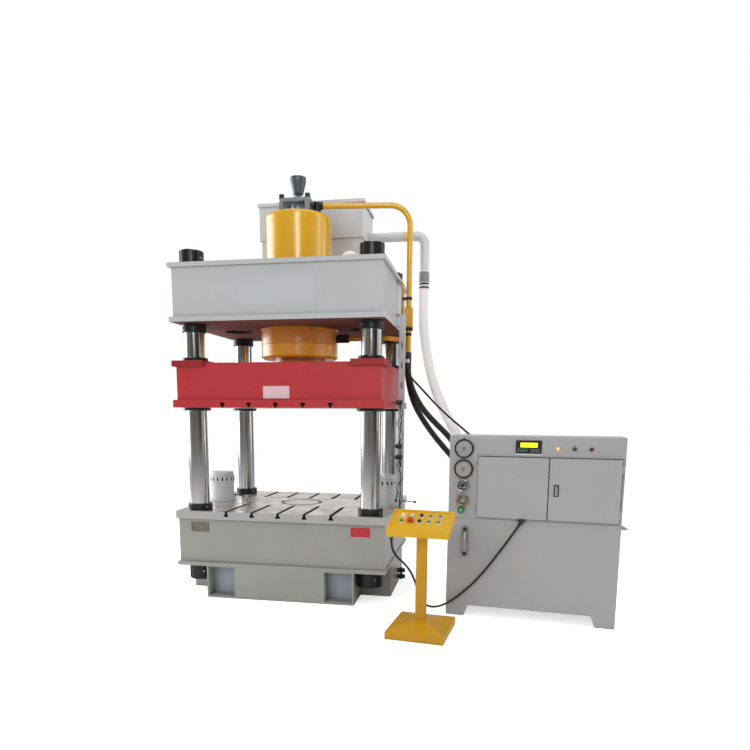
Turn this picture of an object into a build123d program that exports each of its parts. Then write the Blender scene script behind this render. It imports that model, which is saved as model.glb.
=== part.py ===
from build123d import *
from math import cos, radians, sin, tan
import os

os.makedirs("parts", exist_ok=True)

# Four-column hydraulic press with its control stand and power unit, in millimetres.
# X runs to the right, Y to the back and Z up; the origin is on the floor under the press.

# Columns and their nuts
column_r = 72.5
column_x = 665.0
column_y = 490.0
column_slack = 0.5
column_bottom = 116.0
column_top = 2545.0
column_chamfer = 6.0
thread_gap = 0.2
top_nut_r, top_nut_h = 87.0, 104.0
crown_nut_r, crown_nut_h = 88.0, 62.0
table_nut_r, table_nut_h = 92.0, 45.0
base_nut_r, base_nut_h = 95.0, 120.0
nut_chamfer = 4.0
notch_width, notch_depth = 22.0, 9.0

# Foot frame under the lower beam
foot_height = 241.0
foot_front_half = 567.0
foot_side_half = 800.0
foot_half_depth = 631.0
foot_waist_half = 344.0
foot_wall = 15.0
pocket_width = 208.0
pocket_height = 222.0
pocket_depth = 120.0
pocket_side_wall = 12.0
anchor_hole_r = 15.0

# Lower beam and table plate
beam_flange_t = 28.0
beam_half_x = 792.0
beam_half_y = 600.0
beam_wall = 25.0
table_half_x = 800.0
table_half_y = 630.0
table_t = 60.0
table_top = 660.0
table_edge = 2.0
spot_gap = 1.0
spot_depth = 0.5
column_tube_r = 108.0
head_tube_r = 90.0
rib_t = 20.0
rib_x = 230.0

# T-slots
slot_pitch = 200.0
slot_count = 5
slot_throat = 20.0
slot_foot = 36.0
slot_foot_h = 15.0
slot_depth = 36.0
front_slot_length = 422.0
rear_slot_length = 389.0

# Ejector in the middle of the table
ejector_disc_r = 160.0
ejector_disc_t = 25.0
ejector_disc_gap = 5.0
ejector_rod_r = 60.0
ejector_body_r = 95.0
ejector_flange_r = 150.0
ejector_flange_t = 40.0
ejector_bottom = 60.0
ejector_floor_t = 35.0
ejector_stroke = 150.0
running_gap = 0.05

# Crown, the upper beam
crown_bottom = 2030.0
crown_top = 2435.0
crown_half_x = 782.0
crown_half_y = 647.0
crown_bottom_t = 35.0
crown_top_t = 30.0
crown_body_inset = 22.0
crown_wall = 25.0
crown_hole_x = 505.0
crown_hole_r = 115.0

# Main cylinder, gland and ram
barrel_r = 252.0
barrel_top = 2875.0
barrel_fillet = 70.0
cylinder_flange_r = 300.0
cylinder_flange_bottom = 1912.0
cylinder_roof = 75.0
gland_bottom = 1806.0
gland_chamfer = 16.0
seam_chamfer = 2.0
ram_r = 200.0
piston_r = 206.0
piston_h = 140.0
bore_r = piston_r + running_gap
piston_top_gap = 15.0

# Sliding beam
slide_bottom = 1425.0
slide_plate_t = 55.0
slide_top = 1743.0
slide_half_x = 782.0
slide_half_y = 637.0
slide_body_inset_x = 27.0
slide_body_inset_y = 20.0
slide_wall = 22.0
slide_roof_t = 25.0
ear_size = 240.0
ear_t = 43.0
ear_top = 1761.0
slide_hub_r = 250.0
ram_spigot = 40.0
bush_r = 80.0
bush_sleeve = 110.0
upper_bush_flange_r, upper_bush_flange_t = 94.0, 24.0
lower_bush_flange_r, lower_bush_flange_t = 103.0, 20.0

# Filling valve with its pilot cup on the cylinder
valve_half = 118.0
valve_plate_t = 24.0
valve_top_t = 26.0
valve_top = 2990.0
valve_pillar = 34.0
valve_sleeve_r = 52.0
valve_screw_r, valve_screw_h = 13.0, 20.0
cup_bottom = 3045.0
cup_top = 3165.0
cup_neck_r = 23.0
cup_foot_r = 38.0
cup_rim_r = 60.0
cup_bore_r = 50.0
cup_bore_depth = 34.0

# Filling tank behind the cylinder
tank_half_x = 440.0
tank_front = 350.0
tank_back = 810.0
tank_stand_h = 375.0
tank_h = 281.0
tank_bottom = crown_top + tank_stand_h
tank_rim = tank_bottom + tank_h
tank_wall = 8.0
lid_t = 12.0
lid_overhang = 12.0
lid_lip = 14.0
stand_inset = 14.0
stand_back = 640.0
duct_r = 55.0
duct_rise = 60.0
duct_z = barrel_top + duct_rise
duct_wall = 8.0

# Steel pipes of the press
pressure_pipe_r = 21.0
pressure_pipe_bend = 150.0
pipe_top_z = 2955.0
port_x = 150.0
port_reach = 45.0
drop_x, drop_y = 855.0, 100.0
check_block_z = 2130.0
check_block_h = 145.0
check_block_w = 64.0
union_z = 2040.0
union_r, union_t = 34.0, 24.0
pipe_end_z = 1865.0
hose_union_r, hose_union_h = 26.0, 50.0
ring_pipe_z = 1965.0
ring_port_x = 400.0
ring_pipe_r = 20.0
ring_pipe_bend = 62.0
ring_corner_x = 700.0
ring_drop_x, ring_drop_y = 838.0, 190.0
suction_pipe_r = 38.0
suction_pipe_wall = 4.0
suction_pipe_x, suction_pipe_y = 923.0, 600.0
suction_pipe_rise = 50.0
suction_pipe_z = tank_bottom + suction_pipe_rise
suction_pipe_end = 2500.0
suction_bend = 76.0
drain_stub_y = 50.0
drain_stub_r = 17.0
drain_stub_length = 62.0
drain_stub_z = (60.0, 112.0)

# Limit rail with three proximity sensors
rail_x = 832.5
rail_y = -100.0
rail_width, rail_depth, rail_wall = 45.0, 24.0, 4.0
rail_bottom, rail_top = 596.0, 2122.0
sensor_z = (1470.0, 1139.0, 1054.0)
sensor_body = (45.0, 40.0, 34.0)
sensor_r = 9.0
sensor_reach = 788.0
gland_r = 14.0

# Adjustable stop blocks on the table
stop_x = 690.0
stop_base_r, stop_base_t = 106.0, 18.0
stop_body_r = 95.0
stop_body_top = 812.0
stop_screw_r = 45.0
stop_screw_depth = 110.0
stop_ring_r = 100.0
stop_ring_h = 58.0
stop_cap_r = 92.0
stop_cap_h = 30.0
stop_hole_r, stop_hole_depth, stop_hole_count = 7.0, 18.0, 8
stop_lever_z = 700.0
stop_lever_length = 62.0
stop_lever_turns = (20.0, -12.0)

# Control stand
stand_x, stand_y, stand_yaw = 1104.0, -1069.0, -7.5
base_w, base_d, base_side = 370.0, 430.0, 48.0
base_hip, hip_top = 92.0, 76.0
stem_size, stem_wall, stem_y = 60.0, 4.0, -19.0
desk_w, desk_front, desk_back = 388.0, -166.0, 43.0
desk_front_z, desk_thickness = 646.0, 56.0
desk_tilt = 21.9
desk_wall = 3.0
panel_w, panel_l, panel_depth = 358.0, 181.0, 3.0
button_pitch, button_shift, button_rows = 58.5, -4.0, (84.0, 151.0)
bezel_r, bezel_h = 15.0, 5.0
button_r, button_h = 10.7, 7.0
button_travel = 4.0
mushroom_r, mushroom_h = 20.0, 16.0
selector_r, selector_h = 11.5, 9.0
lamp_r = 11.0

# Power unit: oil tank, switch box and doors; s runs along its front and d into its depth
unit_x, unit_y, unit_yaw = 1239.0, -677.0, -6.07
unit_w = 1110.0
oil_tank_d = 850.0
oil_tank_bottom, oil_tank_top = 76.0, 690.0
oil_tank_wall = 6.0
runner_top_w, runner_bottom_w, runner_t = 153.0, 123.0, 8.0
box_d, box_top, box_wall = 300.0, 1245.0, 4.0
door_left, door_mid = 197.0, 648.5
door_side_margin = 18.0
door_right = unit_w - door_side_margin
door_bottom, door_top = 703.0, 1109.0
door_gap = 2.0
door_t, door_skin = 18.0, 3.0
door_lap = 12.0
hinge_offset = 6.0
hinge_r, hinge_pin_r, hinge_h = 5.0, 2.5, 24.0
hinge_z = (759.0, 1048.0)
lock_s, lock_z, lock_l, lock_w, lock_pin_r = 701.0, 866.0, 68.0, 24.0, 6.0
gauge_s, gauge_z = 97.0, (1024.0, 1160.0)
gauge_r, gauge_rim, gauge_proud, gauge_back = 62.0, 5.0, 16.0, 26.0
needle_l, needle_w, needle_t = 42.0, 4.0, 1.2
needle_pin_r = 2.5
wheel_s, wheel_z = 96.0, (913.0, 813.0)
wheel_r, wheel_rim_r, wheel_hub_r, wheel_shaft_r = 37.0, 5.0, 13.0, 6.0
knob_s, knob_z, knob_r, knob_h = 88.0, 744.0, 24.0, 24.0
controller_s, controller_z = 515.5, 1179.0
controller_w, controller_h, controller_proud, controller_back = 163.0, 84.0, 6.0, 60.0
screen_w, screen_h, screen_s, screen_z = 110.0, 32.0, 517.0, 1191.0
lamp_s, lamp_z = (698.0, 800.0, 902.0), 1171.0
level_s, level_z, level_w, level_h, level_proud = 119.0, 528.5, 42.0, 211.0, 14.0
entry_s, entry_out = 484.0, 22.0

# Pump set and valve block on the tank, behind the switch box
motor_side_margin, motor_back_margin = 185.0, 210.0
motor_s, motor_d = unit_w - motor_side_margin, oil_tank_d - motor_back_margin
motor_r, motor_l = 120.0, 300.0
motor_foot_s, motor_foot_w = 90.0, 46.0
bell_r, bell_l = 100.0, 100.0
pump_r, pump_l = 62.0, 120.0
pump_axis_z = 850.0
block_back_margin = 360.0
block_w, block_depth, block_h = 130.0, 140.0, 190.0
port_l = 14.0
block_pump_gap = 51.0
pump_end_s = motor_s - motor_l / 2 - bell_l - pump_l
block_s, block_d = pump_end_s - block_pump_gap - block_w - port_l, oil_tank_d - block_back_margin
valve_w, valve_depth, valve_h = 96.0, 52.0, 50.0
valve_first, valve_pitch = 35.0, 70.0
block_coil_l, block_coil_r = 48.0, 24.0
hose_port_z = (845.0, 790.0)
hose_port_d = (block_d + 40.0, block_d + 80.0)
fill_stub_margin = 60.0
fill_stub_s, fill_stub_d, fill_stub_top = 80.0, oil_tank_d - fill_stub_margin, 745.0
signal_entry_s, signal_entry_z = 250.0, 1118.0
entry_reach = 25.0

# Cords: diameter and route of each
filling_hose_d = 76.0
filling_hose_path = [
    (923, 600, 2500), (923, 600, 2360), (920, 598, 2160), (950, 560, 1940), (1010, 490, 1690),
    (1078, 400, 1520), (1158, 310, 1365), (1243, 222, 1228), (1322, 158, 1112), (1380, 118, 992),
    (1402.1, 100.1, 868), (1402.1, 100.1, 745),
]
pressure_hose_d = 44.0
front_hose_path = [
    (855, 100, 1815), (855, 100, 1735), (868, 99, 1650), (907, 90, 1545), (975, 70, 1430),
    (1075, 28, 1325), (1202, -40, 1213), (1290, -84, 1095), (1372, -125, 975), (1450, -155, 885),
    (1543.65, -176.41, 845), (1653.02, -188.038, 845),
]
rear_hose_path = [
    (838, 190, 1815), (838, 190, 1735), (848, 190, 1655), (868, 187, 1560), (905, 177, 1455),
    (975, 150, 1340), (1075, 105, 1210), (1195, 40, 1082), (1292, -18, 985), (1372, -76, 885),
    (1455, -112, 818), (1547.88, -136.63, 790), (1657.25, -148.262, 790),
]
signal_cable_d = 15.0
signal_cable_path = [
    (875, -100, 1770), (875, -100, 1718), (898, -98, 1665), (948, -100, 1612), (1010, -105, 1550),
    (1080, -115, 1475), (1155, -130, 1405), (1230, -150, 1340), (1300, -172, 1285), (1362, -190, 1232),
    (1420, -205, 1175), (1472, -232, 1136), (1514, -280, 1121), (1527.25, -330.54, 1118), (1521.966, -380.255, 1118),
]
console_cable_d = 14.0
console_cable_path = [
    (918, -1175, 634), (918, -1175, 588), (926, -1150, 540), (946, -1095, 486), (980, -1015, 432),
    (1012, -940, 366), (1036, -880, 288), (1052, -832, 215), (1066, -796, 150), (1086, -770, 102),
    (1116, -746, 70), (1156, -725, 58), (1198, -709, 63), (1238, -702, 80), (1275, -703, 103),
    (1322, -708, 143), (1416, -718, 234), (1507, -728, 349), (1596, -737, 481), (1666, -744.5, 590),
    (1718, -750.06, 674),
]
sensor_lead_d = 6.0
sensor_lead_path = [
    (826, -132, 1453), (826, -132, 1418), (832, -148, 1385), (846, -168, 1340), (838, -176, 1285),
    (832, -176, 1215), (835, -176, 1130), (838, -177, 1045), (834, -176, 965), (845, -174, 905),
    (834, -171, 850), (846, -168, 795), (836, -158, 742), (833, -140, 705), (833, -132, 680),
    (833, -132, 655),
]

column_spots = [(-column_x, -column_y), (column_x, -column_y), (-column_x, column_y), (column_x, column_y)]
slot_xs = [slot_pitch * (i - (slot_count - 1) / 2) for i in range(slot_count)]
beam_bottom = foot_height
beam_top = table_top - table_t
unit_plane = Plane(
    origin=(unit_x, unit_y, 0),
    x_dir=(cos(radians(unit_yaw)), sin(radians(unit_yaw)), 0),
    z_dir=(0, 0, 1),
)
unit_front = Plane(origin=unit_plane.origin, x_dir=unit_plane.x_dir, z_dir=-unit_plane.y_dir)
stand_plane = Plane(
    origin=(stand_x, stand_y, 0),
    x_dir=(cos(radians(stand_yaw)), sin(radians(stand_yaw)), 0),
    z_dir=(0, 0, 1),
)
desk_slope = Vector(0, cos(radians(desk_tilt)), sin(radians(desk_tilt)))
desk_edge = stand_plane.from_local_coords((0, desk_front, desk_front_z + desk_thickness))
desk_plane = Plane(
    origin=desk_edge,
    x_dir=stand_plane.x_dir,
    z_dir=stand_plane.from_local_coords(Vector(0, -desk_slope.Z, desk_slope.Y))
    - stand_plane.from_local_coords((0, 0, 0)),
)
panel_plane = desk_plane.offset(-panel_depth)


def finish(builder, name):
    """Label a finished piece and write it as one STEP file."""
    builder.part.label = name
    export_step(builder.part, f"parts/{name}.step")


def ring(plane, outer, inner, height, spots=((0, 0),)):
    """Add upright rings of one height at the given spots of a plane."""
    with BuildSketch(plane) as profile:
        with Locations(*spots):
            Circle(outer)
            if inner:
                Circle(inner, mode=Mode.SUBTRACT)
    extrude(profile.sketch, amount=height)


def tee_slot(x, start, end, face, sink, round_end):
    """Cut one T-slot along Y from start to end; sink is -1 into a top face and 1 into an underside."""
    with BuildSketch(Plane.XZ.offset(-start)) as profile:
        with Locations((x, face + sink * slot_depth / 2)):
            Rectangle(slot_throat, slot_depth)
        with Locations((x, face + sink * (slot_depth - slot_foot_h / 2))):
            Rectangle(slot_foot, slot_foot_h)
    extrude(profile.sketch, amount=start - end, mode=Mode.SUBTRACT)
    if round_end:
        with Locations((x, end, face + sink * slot_depth / 2)):
            Cylinder(slot_throat / 2, slot_depth, mode=Mode.SUBTRACT)
        with Locations((x, end, face + sink * (slot_depth - slot_foot_h / 2))):
            Cylinder(slot_foot / 2, slot_foot_h, mode=Mode.SUBTRACT)


# Foot frame: a welded trough with four pockets that give access to the anchor bolts
pocket_x = foot_front_half - pocket_side_wall - pocket_width / 2
pocket_y = foot_half_depth - pocket_depth / 2
pocket_spots = [(sx * pocket_x, sy * pocket_y) for sx in (-1, 1) for sy in (-1, 1)]
with BuildPart() as foot_frame:
    with BuildSketch():
        Rectangle(2 * foot_front_half, 2 * foot_half_depth)
        Rectangle(2 * foot_side_half, 2 * foot_waist_half)
    extrude(amount=foot_height)
    with BuildSketch(Plane.XY.offset(foot_wall)):
        Rectangle(2 * (foot_front_half - foot_wall), 2 * (foot_half_depth - foot_wall))
        Rectangle(2 * (foot_side_half - foot_wall), 2 * (foot_waist_half - foot_wall))
    extrude(amount=foot_height - foot_wall, mode=Mode.SUBTRACT)
    for sx, sy in pocket_spots:
        with BuildSketch():
            with Locations((sx, sy)):
                Rectangle(pocket_width + 2 * pocket_side_wall, pocket_depth)
        extrude(amount=foot_height)
        cut_y = sy + (foot_wall / 2 + pocket_side_wall / 2) * (1 if sy > 0 else -1)
        with BuildSketch(Plane.XY.offset(foot_wall)):
            with Locations((sx, cut_y)):
                Rectangle(pocket_width, pocket_depth + foot_wall - pocket_side_wall)
        extrude(amount=pocket_height, mode=Mode.SUBTRACT)
    with BuildSketch():
        with Locations(*[(sx, sy) for sx, sy in pocket_spots]):
            Circle(anchor_hole_r)
    extrude(amount=foot_wall, mode=Mode.SUBTRACT)
finish(foot_frame, "foot_frame")

# Lower beam: flange, box walls, column tubes and two long ribs
with BuildPart() as lower_beam:
    with BuildSketch(Plane.XY.offset(beam_bottom)):
        Rectangle(2 * table_half_x, 2 * table_half_y)
    extrude(amount=beam_flange_t)
    with BuildSketch(Plane.XY.offset(beam_bottom)):
        Rectangle(2 * beam_half_x, 2 * beam_half_y)
        Rectangle(2 * (beam_half_x - beam_wall), 2 * (beam_half_y - beam_wall), mode=Mode.SUBTRACT)
        for x in (-rib_x, rib_x):
            with Locations((x, 0)):
                Rectangle(rib_t, 2 * beam_half_y)
        with Locations(*column_spots):
            Circle(column_tube_r)
        with Locations((0, -rib_x), (0, rib_x)):
            Rectangle(2 * beam_half_x, rib_t)
    extrude(amount=beam_top - beam_bottom)
    with BuildSketch(Plane.XY.offset(beam_bottom)):
        with Locations(*column_spots):
            Circle(column_r + column_slack)
        Circle(ejector_body_r + column_slack)
    extrude(amount=beam_top - beam_bottom, mode=Mode.SUBTRACT)
finish(lower_beam, "lower_beam")

# Table plate with front and rear T-slots and the ejector opening
with BuildPart() as table_plate:
    with BuildSketch(Plane.XY.offset(beam_top)):
        Rectangle(2 * table_half_x, 2 * table_half_y)
        with Locations(*column_spots):
            Circle(column_r + column_slack, mode=Mode.SUBTRACT)
    extrude(amount=table_t)
    chamfer(table_plate.faces().sort_by(Axis.Z)[-1].outer_wire().edges(), table_edge)
    with BuildSketch(Plane.XY.offset(table_top - spot_depth)):
        with Locations(*column_spots):
            Circle(table_nut_r + spot_gap)
        with Locations((-stop_x, 0), (stop_x, 0)):
            Circle(stop_base_r + spot_gap)
    extrude(amount=spot_depth, mode=Mode.SUBTRACT)
    with BuildSketch(Plane.XY.offset(table_top - ejector_disc_t)):
        Circle(ejector_disc_r + ejector_disc_gap)
    extrude(amount=ejector_disc_t, mode=Mode.SUBTRACT)
    with BuildSketch(Plane.XY.offset(beam_top)):
        Circle(ejector_rod_r + running_gap)
    extrude(amount=table_t, mode=Mode.SUBTRACT)
    for x in slot_xs:
        tee_slot(x, -table_half_y, -table_half_y + front_slot_length, table_top, -1, True)
        tee_slot(x, table_half_y, table_half_y - rear_slot_length, table_top, -1, True)
finish(table_plate, "table_plate")

# Columns and the four rings of nuts on them
with BuildPart() as columns:
    ring(Plane.XY.offset(column_bottom), column_r, 0, column_top - column_bottom, column_spots)
    chamfer(columns.edges().filter_by(GeomType.CIRCLE), column_chamfer)
finish(columns, "columns")


def nut_set(z, outer, height, notched):
    """Add one ring nut on each column, its rims chamfered, and notched for a hook spanner if asked."""
    for x, y in column_spots:
        with BuildSketch(Plane.XZ) as profile:
            with BuildLine():
                Polyline(
                    (column_r + thread_gap, z), (outer - nut_chamfer, z), (outer, z + nut_chamfer),
                    (outer, z + height - nut_chamfer), (outer - nut_chamfer, z + height),
                    (column_r + thread_gap, z + height), close=True,
                )
            make_face()
        nut = revolve(profile.sketch, axis=Axis.Z, mode=Mode.PRIVATE)
        if notched:
            for x_out, y_out in ((1, 1), (1, -1), (-1, 1), (-1, -1)):
                turn = 45 * x_out * y_out
                reach = (outer - notch_depth / 2) * cos(radians(45))
                notch = Box(notch_depth + 2, notch_width, height + 1, mode=Mode.PRIVATE)
                nut -= Pos(x_out * reach, y_out * reach, z + height / 2) * Rot(0, 0, turn) * notch
        add(Pos(x, y, 0) * nut)


with BuildPart() as column_nuts:
    nut_set(crown_top, top_nut_r, top_nut_h, True)
    nut_set(crown_bottom - crown_nut_h, crown_nut_r, crown_nut_h, False)
    nut_set(table_top - spot_depth, table_nut_r, table_nut_h, False)
    nut_set(beam_bottom - base_nut_h, base_nut_r, base_nut_h, True)
finish(column_nuts, "column_nuts")

# Crown: two plates, box walls, column tubes, a ring round the cylinder and two ribs
crown_body_x = crown_half_x - crown_body_inset
crown_body_y = crown_half_y - crown_body_inset
with BuildPart() as crown:
    with BuildSketch(Plane.XY.offset(crown_bottom)):
        Rectangle(2 * crown_half_x, 2 * crown_half_y)
        with Locations((-crown_hole_x, 0), (crown_hole_x, 0)):
            Circle(crown_hole_r, mode=Mode.SUBTRACT)
    extrude(amount=crown_bottom_t)
    with BuildSketch(Plane.XY.offset(crown_bottom + crown_bottom_t)):
        Rectangle(2 * crown_body_x, 2 * crown_body_y)
        Rectangle(2 * (crown_body_x - crown_wall), 2 * (crown_body_y - crown_wall), mode=Mode.SUBTRACT)
        for x in (-barrel_r - 2 * rib_t, barrel_r + 2 * rib_t):
            with Locations((x, 0)):
                Rectangle(rib_t, 2 * crown_body_y)
        with Locations(*column_spots):
            Circle(head_tube_r)
        Circle(barrel_r + 2 * rib_t)
    extrude(amount=crown_top - crown_top_t - crown_bottom - crown_bottom_t)
    with BuildSketch(Plane.XY.offset(crown_top - crown_top_t)):
        Rectangle(2 * crown_half_x, 2 * crown_half_y)
    extrude(amount=crown_top_t)
    with BuildSketch(Plane.XY.offset(crown_bottom)):
        with Locations(*column_spots):
            Circle(column_r + column_slack)
        Circle(barrel_r + column_slack)
    extrude(amount=crown_top - crown_bottom, mode=Mode.SUBTRACT)
finish(crown, "crown")

# Main cylinder, turned as one body: barrel, flange under the crown and a closed roof
with BuildPart() as main_cylinder:
    with BuildSketch(Plane.XZ):
        with BuildLine():
            Polyline(
                (bore_r, cylinder_flange_bottom),
                (cylinder_flange_r, cylinder_flange_bottom),
                (cylinder_flange_r, crown_bottom),
                (barrel_r, crown_bottom),
                (barrel_r, barrel_top),
                (0, barrel_top),
                (0, barrel_top - cylinder_roof),
                (bore_r, barrel_top - cylinder_roof),
                close=True,
            )
        make_face()
    revolve(axis=Axis.Z)
    crown_edge = main_cylinder.edges().filter_by(GeomType.CIRCLE).group_by(Axis.Z)[-1]
    fillet(crown_edge, barrel_fillet)
    flange_edges = main_cylinder.edges().filter_by(GeomType.CIRCLE).filter_by(
        lambda e: abs(e.radius - cylinder_flange_r) < 0.1
    )
    chamfer(flange_edges.group_by(Axis.Z)[0], seam_chamfer)
finish(main_cylinder, "main_cylinder")

with BuildPart() as gland_ring:
    ring(
        Plane.XY.offset(gland_bottom), cylinder_flange_r, ram_r + running_gap,
        cylinder_flange_bottom - gland_bottom,
    )
    outer_edges = gland_ring.edges().filter_by(GeomType.CIRCLE).filter_by(
        lambda e: e.radius > ram_r + 1
    )
    chamfer(outer_edges.group_by(Axis.Z)[0], gland_chamfer)
    chamfer(outer_edges.group_by(Axis.Z)[-1], seam_chamfer)
finish(gland_ring, "gland_ring")

# Ram: a plunger with a piston head, its foot let into the sliding beam
piston_top = barrel_top - cylinder_roof - piston_top_gap
with BuildPart() as ram:
    ring(Plane.XY.offset(slide_top - ram_spigot), ram_r, 0, piston_top - slide_top + ram_spigot)
    ring(Plane.XY.offset(piston_top - piston_h), piston_r, 0, piston_h)
finish(ram, "ram")

# Sliding beam: box walls, roof, raised corner pads, column tubes and the hub of the ram
slide_body_x = slide_half_x - slide_body_inset_x
slide_body_y = slide_half_y - slide_body_inset_y
ear_spots = [
    (sx * (slide_half_x - ear_size / 2), sy * (slide_half_y - ear_size / 2)) for sx in (-1, 1) for sy in (-1, 1)
]
plate_top = slide_bottom + slide_plate_t
with BuildPart() as slide_beam:
    with BuildSketch(Plane.XY.offset(plate_top)):
        Rectangle(2 * slide_body_x, 2 * slide_body_y)
        Rectangle(2 * (slide_body_x - slide_wall), 2 * (slide_body_y - slide_wall), mode=Mode.SUBTRACT)
        for x in (-slide_hub_r, slide_hub_r):
            with Locations((x, 0)):
                Rectangle(rib_t, 2 * slide_body_y)
        with Locations(*column_spots):
            Circle(head_tube_r)
        Circle(slide_hub_r)
        Circle(ram_r / 2, mode=Mode.SUBTRACT)
    extrude(amount=slide_top - plate_top)
    with BuildSketch(Plane.XY.offset(slide_top - slide_roof_t)):
        Rectangle(2 * slide_body_x, 2 * slide_body_y)
    extrude(amount=slide_roof_t)
    with BuildSketch(Plane.XY.offset(ear_top - ear_t)):
        with Locations(*ear_spots):
            Rectangle(ear_size, ear_size)
    extrude(amount=ear_t)
    with BuildSketch(Plane.XY.offset(plate_top)):
        with Locations(*column_spots):
            Circle(bush_r)
    extrude(amount=ear_top - plate_top, mode=Mode.SUBTRACT)
    with BuildSketch(Plane.XY.offset(slide_top - ram_spigot)):
        Circle(ram_r)
    extrude(amount=ram_spigot, mode=Mode.SUBTRACT)
finish(slide_beam, "slide_beam")

with BuildPart() as slide_plate:
    with BuildSketch(Plane.XY.offset(slide_bottom)):
        Rectangle(2 * slide_half_x, 2 * slide_half_y)
        with Locations(*column_spots):
            Circle(bush_r, mode=Mode.SUBTRACT)
    extrude(amount=slide_plate_t)
    for x in slot_xs:
        tee_slot(x, -slide_half_y, slide_half_y, slide_bottom, 1, False)
finish(slide_plate, "slide_plate")

# Guide bushes: flanged from above and below, running on the columns
with BuildPart() as guide_bushes:
    bush_bore = column_r + running_gap
    ring(Plane.XY.offset(ear_top - bush_sleeve), bush_r, bush_bore, bush_sleeve, column_spots)
    ring(Plane.XY.offset(ear_top), upper_bush_flange_r, bush_bore, upper_bush_flange_t, column_spots)
    ring(Plane.XY.offset(slide_bottom), bush_r, bush_bore, bush_sleeve, column_spots)
    ring(
        Plane.XY.offset(slide_bottom - lower_bush_flange_t), lower_bush_flange_r, bush_bore,
        lower_bush_flange_t, column_spots,
    )
finish(guide_bushes, "guide_bushes")

# Ejector cylinder under the table and its plunger with the disc in the table face
with BuildPart() as ejector_cylinder:
    ring(Plane.XY.offset(ejector_bottom), ejector_body_r, 0, beam_top - ejector_bottom)
    ring(Plane.XY.offset(beam_bottom - ejector_flange_t), ejector_flange_r, 0, ejector_flange_t)
    with BuildSketch(Plane.XY.offset(ejector_bottom + ejector_floor_t)):
        Circle(ejector_rod_r + running_gap)
    extrude(amount=beam_top - ejector_bottom - ejector_floor_t, mode=Mode.SUBTRACT)
finish(ejector_cylinder, "ejector_cylinder")

with BuildPart() as ejector_plunger:
    ring(
        Plane.XY.offset(ejector_bottom + ejector_floor_t + 5), ejector_rod_r, 0,
        table_top - ejector_bottom - ejector_floor_t - 5,
    )
    ring(Plane.XY.offset(table_top - ejector_disc_t), ejector_disc_r, 0, ejector_disc_t)
finish(ejector_plunger, "ejector_plunger")

# Filling valve: base plate, four pillars, sleeve, top plate with screws, neck and pilot cup
with BuildPart() as filling_valve:
    with BuildSketch(Plane.XY.offset(barrel_top)):
        RectangleRounded(2 * valve_half, 2 * valve_half, 10)
    extrude(amount=valve_plate_t)
    pillar_at = valve_half - valve_pillar / 2
    with BuildSketch(Plane.XY.offset(barrel_top + valve_plate_t)):
        with GridLocations(2 * pillar_at, 2 * pillar_at, 2, 2):
            Rectangle(valve_pillar, valve_pillar)
        Circle(valve_sleeve_r)
    extrude(amount=valve_top - valve_top_t - barrel_top - valve_plate_t)
    with BuildSketch(Plane.XY.offset(valve_top - valve_top_t)):
        RectangleRounded(2 * valve_half, 2 * valve_half, 10)
    extrude(amount=valve_top_t)
    with BuildSketch(Plane.XY.offset(valve_top)):
        with GridLocations(2 * pillar_at, 2 * pillar_at, 2, 2):
            Circle(valve_screw_r)
    extrude(amount=valve_screw_h)
    with BuildSketch(Plane.XZ):
        with BuildLine():
            Polyline(
                (0, valve_top), (cup_neck_r, valve_top), (cup_neck_r, cup_bottom),
                (cup_foot_r, cup_bottom), (cup_rim_r, cup_top - 30), (cup_rim_r, cup_top),
                (cup_bore_r, cup_top), (cup_bore_r - 6, cup_top - cup_bore_depth),
                (0, cup_top - cup_bore_depth), close=True,
            )
        make_face()
    revolve(axis=Axis.Z)
finish(filling_valve, "filling_valve")

# Filling tank on its stand, with the duct to the filling valve
with BuildPart() as fill_tank:
    tank_depth = tank_back - tank_front
    with BuildSketch(Plane.XY.offset(tank_bottom)):
        with Locations((0, (tank_front + tank_back) / 2)):
            Rectangle(2 * tank_half_x, tank_depth)
    extrude(amount=tank_rim - tank_bottom)
    with BuildSketch(Plane.XY.offset(tank_bottom + tank_wall)):
        with Locations((0, (tank_front + tank_back) / 2)):
            Rectangle(2 * (tank_half_x - tank_wall), tank_depth - 2 * tank_wall)
    extrude(amount=tank_rim - tank_bottom - tank_wall, mode=Mode.SUBTRACT)
    stand_depth = stand_back - tank_front - stand_inset
    with BuildSketch(Plane.XY.offset(crown_top)):
        with Locations((0, tank_front + stand_inset + stand_depth / 2)):
            Rectangle(2 * (tank_half_x - stand_inset), stand_depth)
            Rectangle(
                2 * (tank_half_x - stand_inset - tank_wall), stand_depth - 2 * tank_wall,
                mode=Mode.SUBTRACT,
            )
    extrude(amount=tank_bottom - crown_top)
    with BuildSketch(Plane((0, valve_half, duct_z), x_dir=(1, 0, 0), z_dir=(0, 1, 0))):
        Circle(duct_r)
        Circle(duct_r - duct_wall, mode=Mode.SUBTRACT)
    extrude(amount=tank_front - valve_half)
    with BuildSketch(Plane((tank_half_x, suction_pipe_y, suction_pipe_z), z_dir=(-1, 0, 0))):
        Circle(suction_pipe_r - suction_pipe_wall)
    extrude(amount=tank_wall, mode=Mode.SUBTRACT)
    with BuildSketch(Plane.XY.offset(tank_rim)):
        with Locations((0, (tank_front + tank_back) / 2)):
            Rectangle(2 * (tank_half_x + lid_overhang), tank_depth + 2 * lid_overhang)
    extrude(amount=lid_t)
    with BuildSketch(Plane.XY.offset(tank_rim - lid_lip)):
        with Locations((0, (tank_front + tank_back) / 2)):
            Rectangle(2 * (tank_half_x + lid_overhang), tank_depth + 2 * lid_overhang)
            Rectangle(
                2 * (tank_half_x + lid_overhang - 4), tank_depth + 2 * lid_overhang - 8,
                mode=Mode.SUBTRACT,
            )
    extrude(amount=lid_lip)
finish(fill_tank, "fill_tank")


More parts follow.
